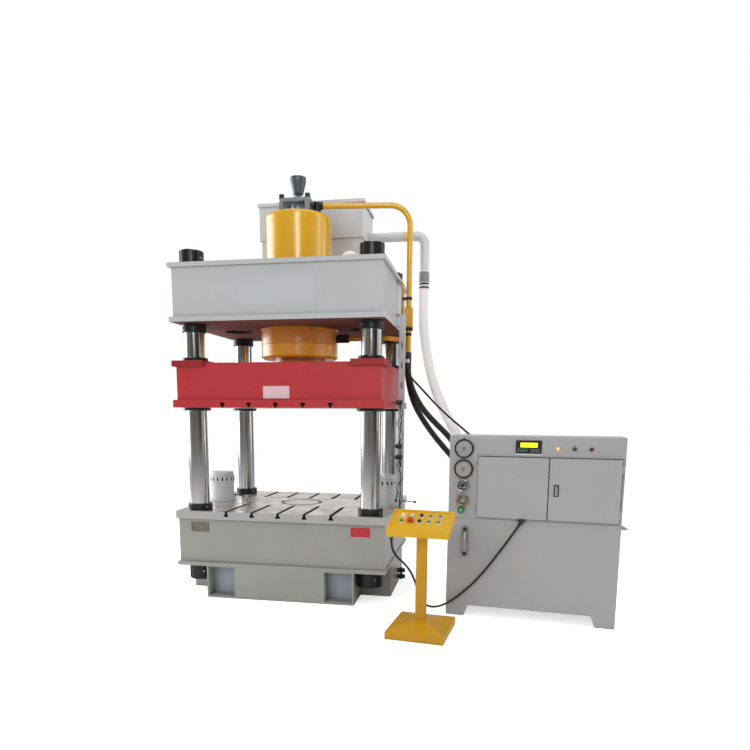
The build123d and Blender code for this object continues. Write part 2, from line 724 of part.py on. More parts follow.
def pipe_run(points, outer, inner, bend):
    """Sweep a round tube along straight runs joined by bends of one radius."""
    with BuildLine() as run:
        FilletPolyline(*points, radius=bend)
    with BuildSketch(Plane(origin=run.line @ 0, z_dir=run.line % 0)) as profile:
        Circle(outer)
        if inner:
            Circle(inner, mode=Mode.SUBTRACT)
    sweep(profile.sketch, path=run.line)


pipe_dir = Vector(drop_x - port_x, drop_y, 0).normalized()
pipe_start = Vector(port_x, 0, pipe_top_z) + pipe_dir * port_reach
with BuildPart() as pressure_pipe:
    pipe_run(
        [pipe_start, (drop_x, drop_y, pipe_top_z), (drop_x, drop_y, pipe_end_z)],
        pressure_pipe_r, 0, pressure_pipe_bend,
    )
    with Locations((drop_x, drop_y, check_block_z)):
        Box(check_block_w, check_block_w, check_block_h)
finish(pressure_pipe, "pressure_pipe")

with BuildPart() as ring_pipe:
    pipe_run(
        [
            (ring_port_x, 0, ring_pipe_z), (ring_corner_x, 0, ring_pipe_z),
            (ring_drop_x, ring_drop_y, ring_pipe_z), (ring_drop_x, ring_drop_y, pipe_end_z),
        ],
        ring_pipe_r, 0, ring_pipe_bend,
    )
finish(ring_pipe, "ring_pipe")

# Steel fittings: cylinder ports, pipe union, hose ends and the two drain stubs at the foot
with BuildPart() as pipe_fittings:
    ring(Plane.XY.offset(barrel_top), 28, 0, pipe_top_z - barrel_top + 24, [(port_x, 0)])
    with BuildSketch(Plane(origin=(port_x, 0, pipe_top_z), z_dir=pipe_dir)):
        RegularPolygon(30, 6)
    extrude(amount=port_reach)
    with BuildSketch(Plane((cylinder_flange_r, 0, ring_pipe_z), z_dir=(1, 0, 0))):
        RegularPolygon(32, 6)
    extrude(amount=ring_port_x - cylinder_flange_r)
    ring(Plane.XY.offset(union_z - union_t / 2), union_r, pressure_pipe_r, union_t, [(drop_x, drop_y)])
    for x, y in ((drop_x, drop_y), (ring_drop_x, ring_drop_y)):
        with BuildSketch(Plane.XY.offset(pipe_end_z - hose_union_h)):
            with Locations((x, y)):
                RegularPolygon(hose_union_r, 6)
        extrude(amount=hose_union_h)
    for z in drain_stub_z:
        with BuildSketch(Plane((foot_side_half, drain_stub_y, z), z_dir=(1, 0, 0))):
            Circle(drain_stub_r)
        extrude(amount=drain_stub_length)
        with BuildSketch(Plane((foot_side_half + drain_stub_length / 3, drain_stub_y, z), z_dir=(1, 0, 0))):
            RegularPolygon(drain_stub_r + 8, 6)
        extrude(amount=drain_stub_length / 3)
finish(pipe_fittings, "pipe_fittings")

with BuildPart() as suction_pipe:
    pipe_run(
        [
            (tank_half_x, suction_pipe_y, suction_pipe_z),
            (suction_pipe_x, suction_pipe_y, suction_pipe_z),
            (suction_pipe_x, suction_pipe_y, suction_pipe_end),
        ],
        suction_pipe_r, suction_pipe_r - suction_pipe_wall, suction_bend,
    )
finish(suction_pipe, "suction_pipe")

# Limit rail: an upright channel with two brackets and two cable glands
with BuildPart() as limit_rail:
    with BuildSketch(Plane.XY.offset(rail_bottom)):
        with Locations((rail_x, rail_y)):
            Rectangle(rail_width, rail_depth)
        with Locations((rail_x, rail_y + rail_wall)):
            Rectangle(rail_width - 2 * rail_wall, rail_depth, mode=Mode.SUBTRACT)
    extrude(amount=rail_top - rail_bottom)
    rail_inner, rail_outer = rail_x - rail_width / 2, rail_x + rail_width / 2
    for reach, z, size in ((crown_half_x, crown_bottom + 5, 60), (table_half_x, beam_top + 5, 50)):
        with Locations(((reach + rail_inner) / 2, rail_y, z + size / 2)):
            Box(rail_inner - reach, size, size)
    harness_x, harness_y, harness_z = signal_cable_path[0]
    ring(Plane.XY.offset(harness_z), gland_r, 0, 26, [(harness_x, harness_y)])
    with Locations(((rail_outer + harness_x) / 2, rail_y, harness_z + 14)):
        Box(harness_x - rail_outer + 8, 20, 20)
    lead_x, lead_y, lead_top = sensor_lead_path[-1]
    ring(Plane.XY.offset(lead_top - 24), 8, 0, 24, [(lead_x, lead_y)])
    rail_face = rail_y - rail_depth / 2
    with Locations((lead_x, (lead_y + rail_face) / 2, lead_top - 16)):
        Box(14, rail_face - lead_y + 8, 14)
finish(limit_rail, "limit_rail")

# Proximity sensors clamped to the front of the rail
with BuildPart() as limit_sensors:
    clamp_y = rail_y - rail_depth / 2 - sensor_body[1] / 2
    for z in sensor_z:
        with Locations((rail_x - 12, clamp_y, z)):
            Box(*sensor_body)
        with BuildSketch(Plane((sensor_reach, clamp_y, z), z_dir=(1, 0, 0))):
            Circle(sensor_r)
        extrude(amount=rail_x - 12 - sensor_reach)
finish(limit_sensors, "limit_sensors")

# Stop blocks: turned body with a screw bore and a clamp lever
stop_spots = [(-stop_x, 0), (stop_x, 0)]
with BuildPart() as stop_blocks:
    ring(Plane.XY.offset(table_top - spot_depth), stop_base_r, 0, stop_base_t, stop_spots)
    ring(Plane.XY.offset(table_top), stop_body_r, 0, stop_body_top - table_top, stop_spots)
    with BuildSketch(Plane.XY.offset(stop_body_top - stop_screw_depth)):
        with Locations(*stop_spots):
            Circle(stop_screw_r + running_gap)
    extrude(amount=stop_screw_depth, mode=Mode.SUBTRACT)
    for (x, y), turn in zip(stop_spots, stop_lever_turns):
        lever_dir = (cos(radians(turn)), sin(radians(turn)), 0)
        lever = Plane((x, y, stop_lever_z), x_dir=(0, 0, 1), z_dir=lever_dir)
        with BuildSketch(lever.offset(stop_body_r - 4)):
            Circle(11)
        extrude(amount=18)
        with BuildSketch(lever.offset(stop_body_r)):
            Circle(4)
        extrude(amount=stop_lever_length)
        with Locations(lever.offset(stop_body_r + stop_lever_length)):
            Sphere(11)
finish(stop_blocks, "stop_blocks")


def stop_ring(spot):
    """Build one adjusting screw with its ring of spanner holes and its flat cap."""
    with BuildPart() as screw:
        ring(
            Plane.XY.offset(stop_body_top - stop_screw_depth + 2), stop_screw_r, 0,
            stop_screw_depth, [spot],
        )
        ring(Plane.XY.offset(stop_body_top), stop_ring_r, 0, stop_ring_h, [spot])
        ring(Plane.XY.offset(stop_body_top + stop_ring_h), stop_cap_r, 0, stop_cap_h, [spot])
        for i in range(stop_hole_count):
            turn = radians(360 / stop_hole_count * (i + 0.5))
            out = Vector(cos(turn), sin(turn), 0)
            mouth = Vector(spot[0], spot[1], stop_body_top + stop_ring_h / 2) + out * stop_ring_r
            with BuildSketch(Plane(origin=mouth, z_dir=-out)):
                Circle(stop_hole_r)
            extrude(amount=stop_hole_depth, mode=Mode.SUBTRACT)
    return screw


finish(stop_ring(stop_spots[0]), "left_stop_screw")
finish(stop_ring(stop_spots[1]), "right_stop_screw")

# Control stand: hipped base with a square stem cut to the slope of the desk
with BuildPart() as stand_column:
    with BuildSketch(stand_plane):
        Rectangle(base_w, base_d)
    extrude(amount=base_side)
    with BuildSketch(stand_plane.offset(base_side)):
        Rectangle(base_w, base_d)
    with BuildSketch(stand_plane.offset(base_hip)):
        with Locations((0, stem_y)):
            Rectangle(hip_top, hip_top)
    loft()
    with BuildSketch(stand_plane.offset(base_side)):
        with Locations((0, stem_y)):
            Rectangle(stem_size, stem_size)
    extrude(amount=desk_front_z + desk_thickness)
    with BuildSketch(stand_plane.offset(base_hip)):
        with Locations((0, stem_y)):
            Rectangle(stem_size - 2 * stem_wall, stem_size - 2 * stem_wall)
    extrude(amount=desk_front_z + desk_thickness, mode=Mode.SUBTRACT)
    split(bisect_by=panel_plane.offset(-desk_wall), keep=Keep.BOTTOM)
finish(stand_column, "stand_column")

# Desk: a slanted sheet box with a sunk panel, its control holes and a cable gland below
control_spots = [(button_shift + button_pitch * (i - 2), y) for y in button_rows for i in range(5)]
lamp_spot = control_spots[5]
mushroom_spot = control_spots[1]
selector_spots = [control_spots[2], control_spots[7]]
button_spots = [control_spots[i] for i in (0, 3, 4, 6, 8, 9)]
desk_run = desk_back - desk_front
desk_rise = desk_run * tan(radians(desk_tilt))
desk_side = Plane(origin=stand_plane.origin, x_dir=stand_plane.y_dir, z_dir=stand_plane.x_dir)
with BuildPart() as stand_desk:
    with BuildSketch(desk_side.offset(-desk_w / 2)):
        with BuildLine():
            Polyline(
                (desk_front, desk_front_z), (desk_back, desk_front_z + desk_rise),
                (desk_back, desk_front_z + desk_rise + desk_thickness),
                (desk_front, desk_front_z + desk_thickness), close=True,
            )
        make_face()
    extrude(amount=desk_w)
    sheet = desk_wall / cos(radians(desk_tilt))
    inner_roof = desk_thickness - sheet - panel_depth / cos(radians(desk_tilt))
    low_z = desk_front_z + desk_wall * tan(radians(desk_tilt))
    high_z = desk_front_z + desk_rise - desk_wall * tan(radians(desk_tilt))
    with BuildSketch(desk_side.offset(-desk_w / 2 + desk_wall)):
        with BuildLine():
            Polyline(
                (desk_front + desk_wall, low_z + sheet), (desk_back - desk_wall, high_z + sheet),
                (desk_back - desk_wall, high_z + inner_roof),
                (desk_front + desk_wall, low_z + inner_roof), close=True,
            )
        make_face()
    extrude(amount=desk_w - 2 * desk_wall, mode=Mode.SUBTRACT)
    with BuildSketch(stand_plane.offset(desk_front_z)):
        with Locations((0, stem_y)):
            Rectangle(stem_size, stem_size)
    extrude(amount=desk_rise + desk_wall - 10, mode=Mode.SUBTRACT)
    with BuildSketch(desk_plane):
        with Locations((0, desk_run / cos(radians(desk_tilt)) / 2)):
            Rectangle(panel_w, panel_l)
    extrude(amount=-panel_depth, mode=Mode.SUBTRACT)
    with BuildSketch(panel_plane):
        with Locations(*control_spots):
            Circle(button_r + 0.5)
    extrude(amount=-3 * desk_wall, mode=Mode.SUBTRACT)
    cable_x, cable_y, cable_z = console_cable_path[0]
    ring(Plane.XY.offset(cable_z), gland_r, 0, 34, [(cable_x, cable_y)])
finish(stand_desk, "stand_desk")

# Chromed bezels on the panel and the ten controls in them
with BuildPart() as control_bezels:
    with BuildSketch(panel_plane):
        with Locations(*control_spots):
            Circle(bezel_r)
            Circle(button_r + 0.5, mode=Mode.SUBTRACT)
    extrude(amount=bezel_h)
finish(control_bezels, "control_bezels")


def push_button(spot):
    """Build one push button: cap above the bezel and a plunger below the panel."""
    with BuildPart() as button:
        with BuildSketch(panel_plane.offset(-26)):
            with Locations(spot):
                Circle(6)
        extrude(amount=26)
        with BuildSketch(panel_plane.offset(-desk_wall)):
            with Locations(spot):
                Circle(button_r)
        extrude(amount=desk_wall + bezel_h + button_h)
        chamfer(button.faces().sort_by(Axis((0, 0, 0), panel_plane.z_dir))[-1].edges(), 1.2)
    return button


button_names = ["reset_button", "down_button", "up_button", "start_button", "clamp_button", "jog_button"]
for button_name, button_spot in zip(button_names, button_spots):
    finish(push_button(button_spot), button_name)

with BuildPart() as stop_mushroom:
    with BuildSketch(panel_plane.offset(-26)):
        with Locations(mushroom_spot):
            Circle(6)
    extrude(amount=26)
    with BuildSketch(panel_plane.offset(-desk_wall)):
        with Locations(mushroom_spot):
            Circle(button_r)
    extrude(amount=desk_wall + bezel_h + 8)
    with BuildSketch(panel_plane.offset(bezel_h + 6)):
        with Locations(mushroom_spot):
            Circle(mushroom_r)
    extrude(amount=mushroom_h - 2)
    fillet(stop_mushroom.faces().sort_by(Axis((0, 0, 0), panel_plane.z_dir))[-1].edges(), 6)
finish(stop_mushroom, "stop_mushroom")


def selector(spot):
    """Build one rotary selector: a round knob with a raised grip bar."""
    with BuildPart() as knob:
        with BuildSketch(panel_plane.offset(-26)):
            with Locations(spot):
                Circle(6)
        extrude(amount=26)
        with BuildSketch(panel_plane.offset(-desk_wall)):
            with Locations(spot):
                Circle(button_r)
        extrude(amount=desk_wall + bezel_h + 1)
        with BuildSketch(panel_plane.offset(bezel_h + 1)):
            with Locations(spot):
                Circle(selector_r)
        extrude(amount=selector_h - 3)
        with BuildSketch(panel_plane.offset(bezel_h + selector_h - 2)):
            with Locations(spot):
                SlotOverall(2 * selector_r - 2, 8, rotation=90)
        extrude(amount=8)
    return knob


finish(selector(selector_spots[0]), "mode_selector")
finish(selector(selector_spots[1]), "speed_selector")

# Power unit: oil tank on two folded runners
lug_w, lug_h, lug_t = 42.0, 34.0, 12.0
with BuildPart() as oil_tank:
    with BuildSketch(unit_plane.offset(oil_tank_bottom)):
        with Locations((unit_w / 2, oil_tank_d / 2)):
            Rectangle(unit_w, oil_tank_d)
    extrude(amount=oil_tank_top - oil_tank_bottom)
    with BuildSketch(unit_plane.offset(oil_tank_bottom + oil_tank_wall)):
        with Locations((unit_w / 2, oil_tank_d / 2)):
            Rectangle(unit_w - 2 * oil_tank_wall, oil_tank_d - 2 * oil_tank_wall)
    extrude(amount=oil_tank_top - oil_tank_bottom - 2 * oil_tank_wall, mode=Mode.SUBTRACT)
    with BuildSketch(unit_plane.offset(oil_tank_top - oil_tank_wall)):
        with Locations((fill_stub_s, fill_stub_d)):
            Circle(filling_hose_d / 2 - 6)
        with Locations((motor_s - motor_l / 2 - bell_l - pump_l / 2, motor_d)):
            Circle(30)
    extrude(amount=oil_tank_wall, mode=Mode.SUBTRACT)
    ring(
        unit_plane.offset(oil_tank_top), filling_hose_d / 2, filling_hose_d / 2 - 6,
        fill_stub_top - oil_tank_top, [(fill_stub_s, fill_stub_d)],
    )
    for outer_s, side in ((0, 1), (unit_w, -1)):
        with BuildSketch(unit_front):
            with BuildLine():
                Polyline(
                    (outer_s, 0), (outer_s + side * runner_bottom_w, 0),
                    (outer_s + side * runner_top_w, oil_tank_bottom), (outer_s, oil_tank_bottom), close=True,
                )
            make_face()
        extrude(amount=-oil_tank_d)
        with BuildSketch(unit_plane):
            with Locations((outer_s + side * runner_bottom_w / 2, oil_tank_d / 2)):
                Rectangle(runner_bottom_w - 2 * runner_t, oil_tank_d - 2 * runner_t)
        extrude(amount=oil_tank_bottom - runner_t, mode=Mode.SUBTRACT)
    with BuildSketch(unit_front.offset(-30)):
        with BuildLine():
            Polyline(
                (unit_w, oil_tank_top), (unit_w + lug_w, oil_tank_top - lug_h + 12),
                (unit_w + lug_w, oil_tank_top - lug_h), (unit_w, oil_tank_top - lug_h), close=True,
            )
        make_face()
    extrude(amount=-lug_t)
finish(oil_tank, "oil_tank")

# Switch box: sheet shell with two door openings, gauge strip, partition and hinge pins
hinge_axes = [(door_left - hinge_offset, -door_t / 2 - door_gap), (door_right + hinge_offset, -door_t / 2 - door_gap)]
controls_cut = needle_pin_r + 4
with BuildPart() as switch_box:
    with BuildSketch(unit_plane.offset(oil_tank_top)):
        with Locations((unit_w / 2, box_d / 2)):
            Rectangle(unit_w, box_d)
    extrude(amount=box_top - oil_tank_top)
    with BuildSketch(unit_plane.offset(oil_tank_top + box_wall)):
        with Locations((unit_w / 2, box_d / 2)):
            Rectangle(unit_w - 2 * box_wall, box_d - 2 * box_wall)
        with Locations((door_left - 8, box_d / 2)):
            Rectangle(box_wall, box_d, mode=Mode.SUBTRACT)
    extrude(amount=box_top - oil_tank_top - 2 * box_wall, mode=Mode.SUBTRACT)
    with BuildSketch(unit_front):
        with Locations(((door_left + door_right) / 2, (door_bottom + door_top) / 2)):
            Rectangle(door_right - door_left - 2 * door_lap, door_top - door_bottom - 2 * door_lap)
        with Locations(*[(gauge_s, z) for z in gauge_z]):
            Circle(gauge_r - gauge_rim - 3)
        with Locations(*[(wheel_s, z) for z in wheel_z], (knob_s, knob_z)):
            Circle(wheel_shaft_r + running_gap)
        with Locations((controller_s, controller_z)):
            Rectangle(controller_w - 12, controller_h - 12)
        with Locations(*[(s, lamp_z) for s in lamp_s]):
            Circle(lamp_r - 1)
    extrude(amount=-box_wall, mode=Mode.SUBTRACT)
    for s, d in hinge_axes:
        for z in hinge_z:
            ring(unit_plane.offset(z), hinge_r, 0, hinge_h, [(s, d)])
            ring(unit_plane.offset(z - hinge_h), hinge_pin_r, 0, hinge_h, [(s, d)])
            with BuildSketch(unit_plane.offset(z)):
                with Locations((s, d / 2)):
                    Rectangle(3, -d)
            extrude(amount=hinge_h)
    entry_end, entry_before = Vector(*console_cable_path[-1]), Vector(*console_cable_path[-2])
    ring(Plane(origin=entry_end, z_dir=entry_end - entry_before), gland_r, 0, 22)
    with BuildSketch(unit_plane.offset(oil_tank_top)):
        with Locations((entry_s + gland_r / 2, -(entry_out + gland_r) / 2)):
            Rectangle(3.4 * gland_r, entry_out + gland_r)
    extrude(amount=10)
    with BuildSketch(unit_front.offset(-box_d)):
        with Locations((signal_entry_s, signal_entry_z)):
            Circle(gland_r)
    extrude(amount=-entry_reach)
finish(switch_box, "switch_box")


def door(low_s, high_s, hinge_spot, side):
    """Build one folded door with its rim and the two hinge knuckles that sit under the pins' collars."""
    with BuildPart() as leaf:
        with BuildSketch(unit_front.offset(door_gap)):
            with Locations(((low_s + high_s) / 2, (door_bottom + door_top) / 2)):
                Rectangle(high_s - low_s, door_top - door_bottom)
        extrude(amount=door_t)
        with BuildSketch(unit_front.offset(door_gap)):
            with Locations(((low_s + high_s) / 2, (door_bottom + door_top) / 2)):
                Rectangle(high_s - low_s - 2 * door_skin, door_top - door_bottom - 2 * door_skin)
        extrude(amount=door_t - door_skin, mode=Mode.SUBTRACT)
        s, d = hinge_spot
        for z in hinge_z:
            with BuildSketch(unit_plane.offset(z - hinge_h - 0.5)):
                with Locations((s, d)):
                    Circle(hinge_r)
                with Locations((s + side * 3, d)):
                    Rectangle(6, 2 * hinge_r)
                with Locations((s, d)):
                    Circle(hinge_pin_r + running_gap, mode=Mode.SUBTRACT)
            extrude(amount=hinge_h)
    return leaf


finish(door(door_left, door_mid - door_gap / 2, hinge_axes[0], 1), "left_door")
lock_plane = unit_front.offset(door_gap + door_t)
with BuildPart() as right_door:
    add(door(door_mid + door_gap / 2, door_right, hinge_axes[1], -1).part)
    with BuildSketch(lock_plane):
        with Locations((lock_s, lock_z + lock_l / 2)):
            RectangleRounded(lock_w + 8, lock_l + 10, 5)
    extrude(amount=3)
    with BuildSketch(lock_plane.offset(3)):
        with Locations((lock_s, lock_z + lock_l / 2)):
            Circle(lock_pin_r + running_gap)
    extrude(amount=-3 - door_skin, mode=Mode.SUBTRACT)
finish(right_door, "right_door")

with BuildPart() as lock_handle:
    with BuildSketch(lock_plane.offset(-10)):
        with Locations((lock_s, lock_z + lock_l / 2)):
            Circle(lock_pin_r)
    extrude(amount=10 + 3.3)
    with BuildSketch(lock_plane.offset(3.3)):
        with Locations((lock_s, lock_z + lock_l / 2)):
            SlotOverall(lock_l, lock_w - 8, rotation=90)
    extrude(amount=9)
    fillet(lock_handle.faces().sort_by(Axis((0, 0, 0), unit_front.z_dir))[-1].edges(), 2)
finish(lock_handle, "lock_handle")

# Gauges: cased dials in the front panel, each with a needle on a pin
with BuildPart() as gauge_cases:
    gauge_spots = [(gauge_s, z) for z in gauge_z]
    with BuildSketch(unit_front):
        with Locations(*gauge_spots):
            Circle(gauge_r)
    extrude(amount=gauge_proud)
    with BuildSketch(unit_front):
        with Locations(*gauge_spots):
            Circle(gauge_r - gauge_rim - 3.5)
    extrude(amount=-gauge_back)
    with BuildSketch(unit_front.offset(gauge_proud)):
        with Locations(*gauge_spots):
            Circle(gauge_r - gauge_rim)
    extrude(amount=-10, mode=Mode.SUBTRACT)
    with BuildSketch(unit_front.offset(gauge_proud - 10)):
        with Locations(*gauge_spots):
            Circle(needle_pin_r + running_gap)
    extrude(amount=-12, mode=Mode.SUBTRACT)
finish(gauge_cases, "gauge_cases")


def gauge_needle(z):
    """Build one gauge needle, its tail and its pin; it points to the lower left at zero."""
    aim = radians(225)
    outline = [(-12, needle_w / 2), (needle_l, 0.8), (needle_l, -0.8), (-12, -needle_w / 2)]
    corners = [
        (gauge_s + a * cos(aim) - b * sin(aim), z + a * sin(aim) + b * cos(aim)) for a, b in outline
    ]
    with BuildPart() as needle:
        with BuildSketch(unit_front.offset(gauge_proud - 10 - 11)):
            with Locations((gauge_s, z)):
                Circle(needle_pin_r)
        extrude(amount=11 + 4)
        with BuildSketch(unit_front.offset(gauge_proud - 10 + 3)):
            with BuildLine():
                Polyline(*corners, close=True)
            make_face()
            with Locations((gauge_s, z)):
                Circle(5)
        extrude(amount=needle_t)
    return needle


finish(gauge_needle(gauge_z[1]), "upper_needle")
finish(gauge_needle(gauge_z[0]), "lower_needle")


def handwheel(z):
    """Build one small handwheel: rim, three spokes, hub and shaft through the panel."""
    with BuildPart() as wheel:
        with BuildSketch(unit_front.offset(-30)):
            with Locations((wheel_s, z)):
                Circle(wheel_shaft_r)
        extrude(amount=30 + 8)
        with BuildSketch(unit_front.offset(6)):
            with Locations((wheel_s, z)):
                Circle(wheel_hub_r)
        extrude(amount=26)
        with BuildSketch(unit_front.offset(18)):
            with Locations((wheel_s, z)):
                with PolarLocations(wheel_r / 2, 3, start_angle=90):
                    Rectangle(wheel_r, 8)
        extrude(amount=6)
        with Locations(unit_front.offset(21) * Location((wheel_s, z, 0))):
            Torus(wheel_r, wheel_rim_r)
    return wheel


finish(handwheel(wheel_z[0]), "upper_handwheel")
finish(handwheel(wheel_z[1]), "lower_handwheel")

with BuildPart() as isolator_knob:
    with BuildSketch(unit_front.offset(-30)):
        with Locations((knob_s, knob_z)):
            Circle(wheel_shaft_r)
    extrude(amount=34)
    with BuildSketch(unit_front.offset(3)):
        with Locations((knob_s, knob_z)):
            Circle(knob_r)
            with PolarLocations(knob_r + 3, 8):
                Circle(6, mode=Mode.SUBTRACT)
    extrude(amount=knob_h)
finish(isolator_knob, "isolator_knob")

# Operating terminal with its screen window, and the indicator lamps of box and stand
with BuildPart() as operator_terminal:
    with BuildSketch(unit_front):
        with Locations((controller_s, controller_z)):
            RectangleRounded(controller_w, controller_h, 4)
    extrude(amount=controller_proud)
    with BuildSketch(unit_front):
        with Locations((controller_s, controller_z)):
            Rectangle(controller_w - 13, controller_h - 13)
    extrude(amount=-controller_back)
    with BuildSketch(unit_front.offset(controller_proud)):
        with Locations((screen_s, screen_z)):
            Rectangle(screen_w, screen_h)
    extrude(amount=-2, mode=Mode.SUBTRACT)
finish(operator_terminal, "operator_terminal")

with BuildPart() as signal_lamps:
    with BuildSketch(unit_front.offset(-20)):
        with Locations(*[(s, lamp_z) for s in lamp_s]):
            Circle(lamp_r - 1.5)
    extrude(amount=20)
    with BuildSketch(unit_front):
        with Locations(*[(s, lamp_z) for s in lamp_s]):
            Circle(lamp_r + 3)
    extrude(amount=4)
    with BuildSketch(unit_front.offset(4)):
        with Locations(*[(s, lamp_z) for s in lamp_s]):
            Circle(lamp_r - 1)
    extrude(amount=8)
    with BuildSketch(panel_plane.offset(-24)):
        with Locations(lamp_spot):
            Circle(button_r)
    extrude(amount=24 + bezel_h + 8)
finish(signal_lamps, "signal_lamps")

with BuildPart() as level_gauge:
    with BuildSketch(unit_front):
        with Locations((level_s, level_z)):
            SlotOverall(level_h, level_w, rotation=90)
    extrude(amount=level_proud)
    with BuildSketch(unit_front.offset(level_proud)):
        with Locations((level_s, level_z)):
            Rectangle(level_w / 3, level_h * 0.62)
    extrude(amount=-5, mode=Mode.SUBTRACT)
    with BuildSketch(unit_front.offset(level_proud)):
        with Locations((level_s, level_z - 0.4 * level_h), (level_s, level_z + 0.4 * level_h)):
            Circle(11)
    extrude(amount=5)
finish(level_gauge, "level_gauge")

# Mounting plate inside the switch box with breakers, contactors, relays and a terminal strip
plate_s, plate_z, plate_w, plate_h = 645.0, 900.0, 820.0, 380.0
gear_rows = {
    1010.0: [(-330, 54, 90, 70), (-255, 54, 90, 70), (-180, 54, 90, 70), (60, 180, 110, 80), (270, 200, 110, 60)],
    885.0: [(-300, 76, 86, 95), (-205, 76, 86, 95), (-110, 76, 86, 95), (60, 210, 70, 60), (270, 90, 90, 70)],
    765.0: [(0, 700, 40, 42)],
}
with BuildPart() as mounting_plate:
    back = unit_front.offset(-box_d + box_wall)
    with BuildSketch(back):
        with Locations((plate_s, plate_z)):
            Rectangle(plate_w, plate_h)
    extrude(amount=6)
    for row_z, gear in gear_rows.items():
        for offset_s, width, height, depth in gear:
            with BuildSketch(back.offset(6)):
                with Locations((plate_s + offset_s, row_z)):
                    Rectangle(width, height)
            extrude(amount=depth)
finish(mounting_plate, "mounting_plate")

# Motor, bell housing and pump in line on the tank, and the valve block beside them
pump_front = Plane(
    origin=unit_plane.from_local_coords((motor_s + motor_l / 2, motor_d, pump_axis_z)),
    x_dir=unit_plane.y_dir, z_dir=-unit_plane.x_dir,
)
with BuildPart() as pump_set:
    with BuildSketch(pump_front):
        Circle(motor_r)
        with PolarLocations(motor_r, 24):
            Rectangle(16, 5)
    extrude(amount=motor_l - 40)
    with BuildSketch(pump_front.offset(motor_l - 40)):
        Circle(motor_r + 6)
    extrude(amount=40)
    with BuildSketch(pump_front.offset(motor_l)):
        Circle(bell_r)
    extrude(amount=bell_l)
    with BuildSketch(pump_front.offset(motor_l + bell_l)):
        Circle(pump_r)
    extrude(amount=pump_l)
    with BuildSketch(pump_front.offset(-30)):
        Circle(motor_r - 8)
    extrude(amount=30)
    with BuildSketch(unit_plane.offset(oil_tank_top)):
        with Locations((motor_s - motor_foot_s, motor_d), (motor_s + motor_foot_s, motor_d)):
            Rectangle(motor_foot_w, 2 * motor_r - 40)
        with Locations((motor_s - motor_l / 2 - bell_l - pump_l / 2, motor_d)):
            Circle(24)
    extrude(amount=pump_axis_z - oil_tank_top - 30)
finish(pump_set, "pump_set")

with BuildPart() as valve_block:
    block_mid = block_s + port_l + block_w / 2
    with BuildSketch(unit_plane.offset(oil_tank_top)):
        with Locations((block_mid, block_d + block_depth / 2)):
            Rectangle(block_w, block_depth)
    extrude(amount=block_h)
    valve_ds = [block_d + valve_first, block_d + valve_first + valve_pitch]
    with BuildSketch(unit_plane.offset(oil_tank_top + block_h)):
        with Locations(*[(block_mid, d) for d in valve_ds]):
            Rectangle(valve_w, valve_depth)
    extrude(amount=valve_h)
    for d in valve_ds:
        for side in (-1, 1):
            coil_at = (block_mid + side * valve_w / 2, d, oil_tank_top + block_h + valve_h / 2)
            coil = Plane(origin=unit_plane.from_local_coords(coil_at), z_dir=unit_plane.x_dir * side)
            with BuildSketch(coil):
                Circle(block_coil_r)
            extrude(amount=block_coil_l)
    for z, d in zip(hose_port_z, hose_port_d):
        port = Plane(origin=unit_plane.from_local_coords((block_s, d, z)), z_dir=-unit_plane.x_dir)
        with BuildSketch(port.offset(-port_l)):
            RegularPolygon(hose_union_r, 6)
        extrude(amount=port_l)
finish(valve_block, "valve_block")


def cord_radii(points):
    """Work out the radius of each corner: 0.45 of the shorter run over the tangent of half the turn."""
    corners = [Vector(*p) for p in points]
    radii = []
    for before, corner, after in zip(corners, corners[1:], corners[2:]):
        run_in, run_out = corner - before, after - corner
        half_turn = radians(run_in.get_angle(run_out) / 2)
        radii.append(0.45 * min(run_in.length, run_out.length) / tan(half_turn))
    return radii


def cord(name, points, diameter):
    """Sweep a plain round cord along straight runs joined by tangent arcs and print its radii."""
    radii = cord_radii(points)
    with BuildPart() as tube:
        with BuildLine() as route:
            FilletPolyline(*points, radius=radii)
        with BuildSketch(Plane(origin=route.line @ 0, z_dir=route.line % 0)):
            Circle(diameter / 2)
        sweep(path=route.line)
    area = 3.14159265 * diameter**2 / 4
    length = sum(edge.length for edge in route.edges())
    share = tube.part.volume / (area * length)
    print(name, "length", round(length), "volume share", round(share, 4))
    print("  radii in diameters", [round(r / diameter, 1) for r in radii])
    finish(tube, name)


cord("filling_hose", filling_hose_path, filling_hose_d)
cord("front_pressure_hose", front_hose_path, pressure_hose_d)
cord("rear_pressure_hose", rear_hose_path, pressure_hose_d)
cord("signal_cable", signal_cable_path, signal_cable_d)
cord("console_cable", console_cable_path, console_cable_d)
cord("sensor_lead", sensor_lead_path, sensor_lead_d)
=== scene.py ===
"""Looks of a four-column hydraulic press with its control stand and its oil unit.

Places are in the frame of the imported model: X to the right, Y to the back and Z up. Shapes are given in
millimetres and set down in metres; working planes, zones, finishes and lamps are given in metres.
"""
import logging
from dataclasses import dataclass
from enum import Enum
from math import cos, pi, radians, sin, tau
from typing import Any, Optional, Sequence

import bmesh
import bpy
from mathutils import Matrix, Vector


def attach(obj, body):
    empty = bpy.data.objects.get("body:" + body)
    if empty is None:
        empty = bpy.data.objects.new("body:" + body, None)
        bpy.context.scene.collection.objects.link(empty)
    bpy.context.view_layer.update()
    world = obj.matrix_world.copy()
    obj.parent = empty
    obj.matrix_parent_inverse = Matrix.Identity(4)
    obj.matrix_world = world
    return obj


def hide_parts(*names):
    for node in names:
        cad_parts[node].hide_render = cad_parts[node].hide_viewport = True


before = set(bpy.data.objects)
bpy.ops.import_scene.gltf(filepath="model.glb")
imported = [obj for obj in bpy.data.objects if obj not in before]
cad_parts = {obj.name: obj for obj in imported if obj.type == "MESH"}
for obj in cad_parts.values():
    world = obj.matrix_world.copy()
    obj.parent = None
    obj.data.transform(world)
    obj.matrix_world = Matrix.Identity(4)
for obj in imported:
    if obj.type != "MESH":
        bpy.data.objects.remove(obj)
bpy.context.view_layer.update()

LOG = logging.getLogger("press")
MM = 0.001
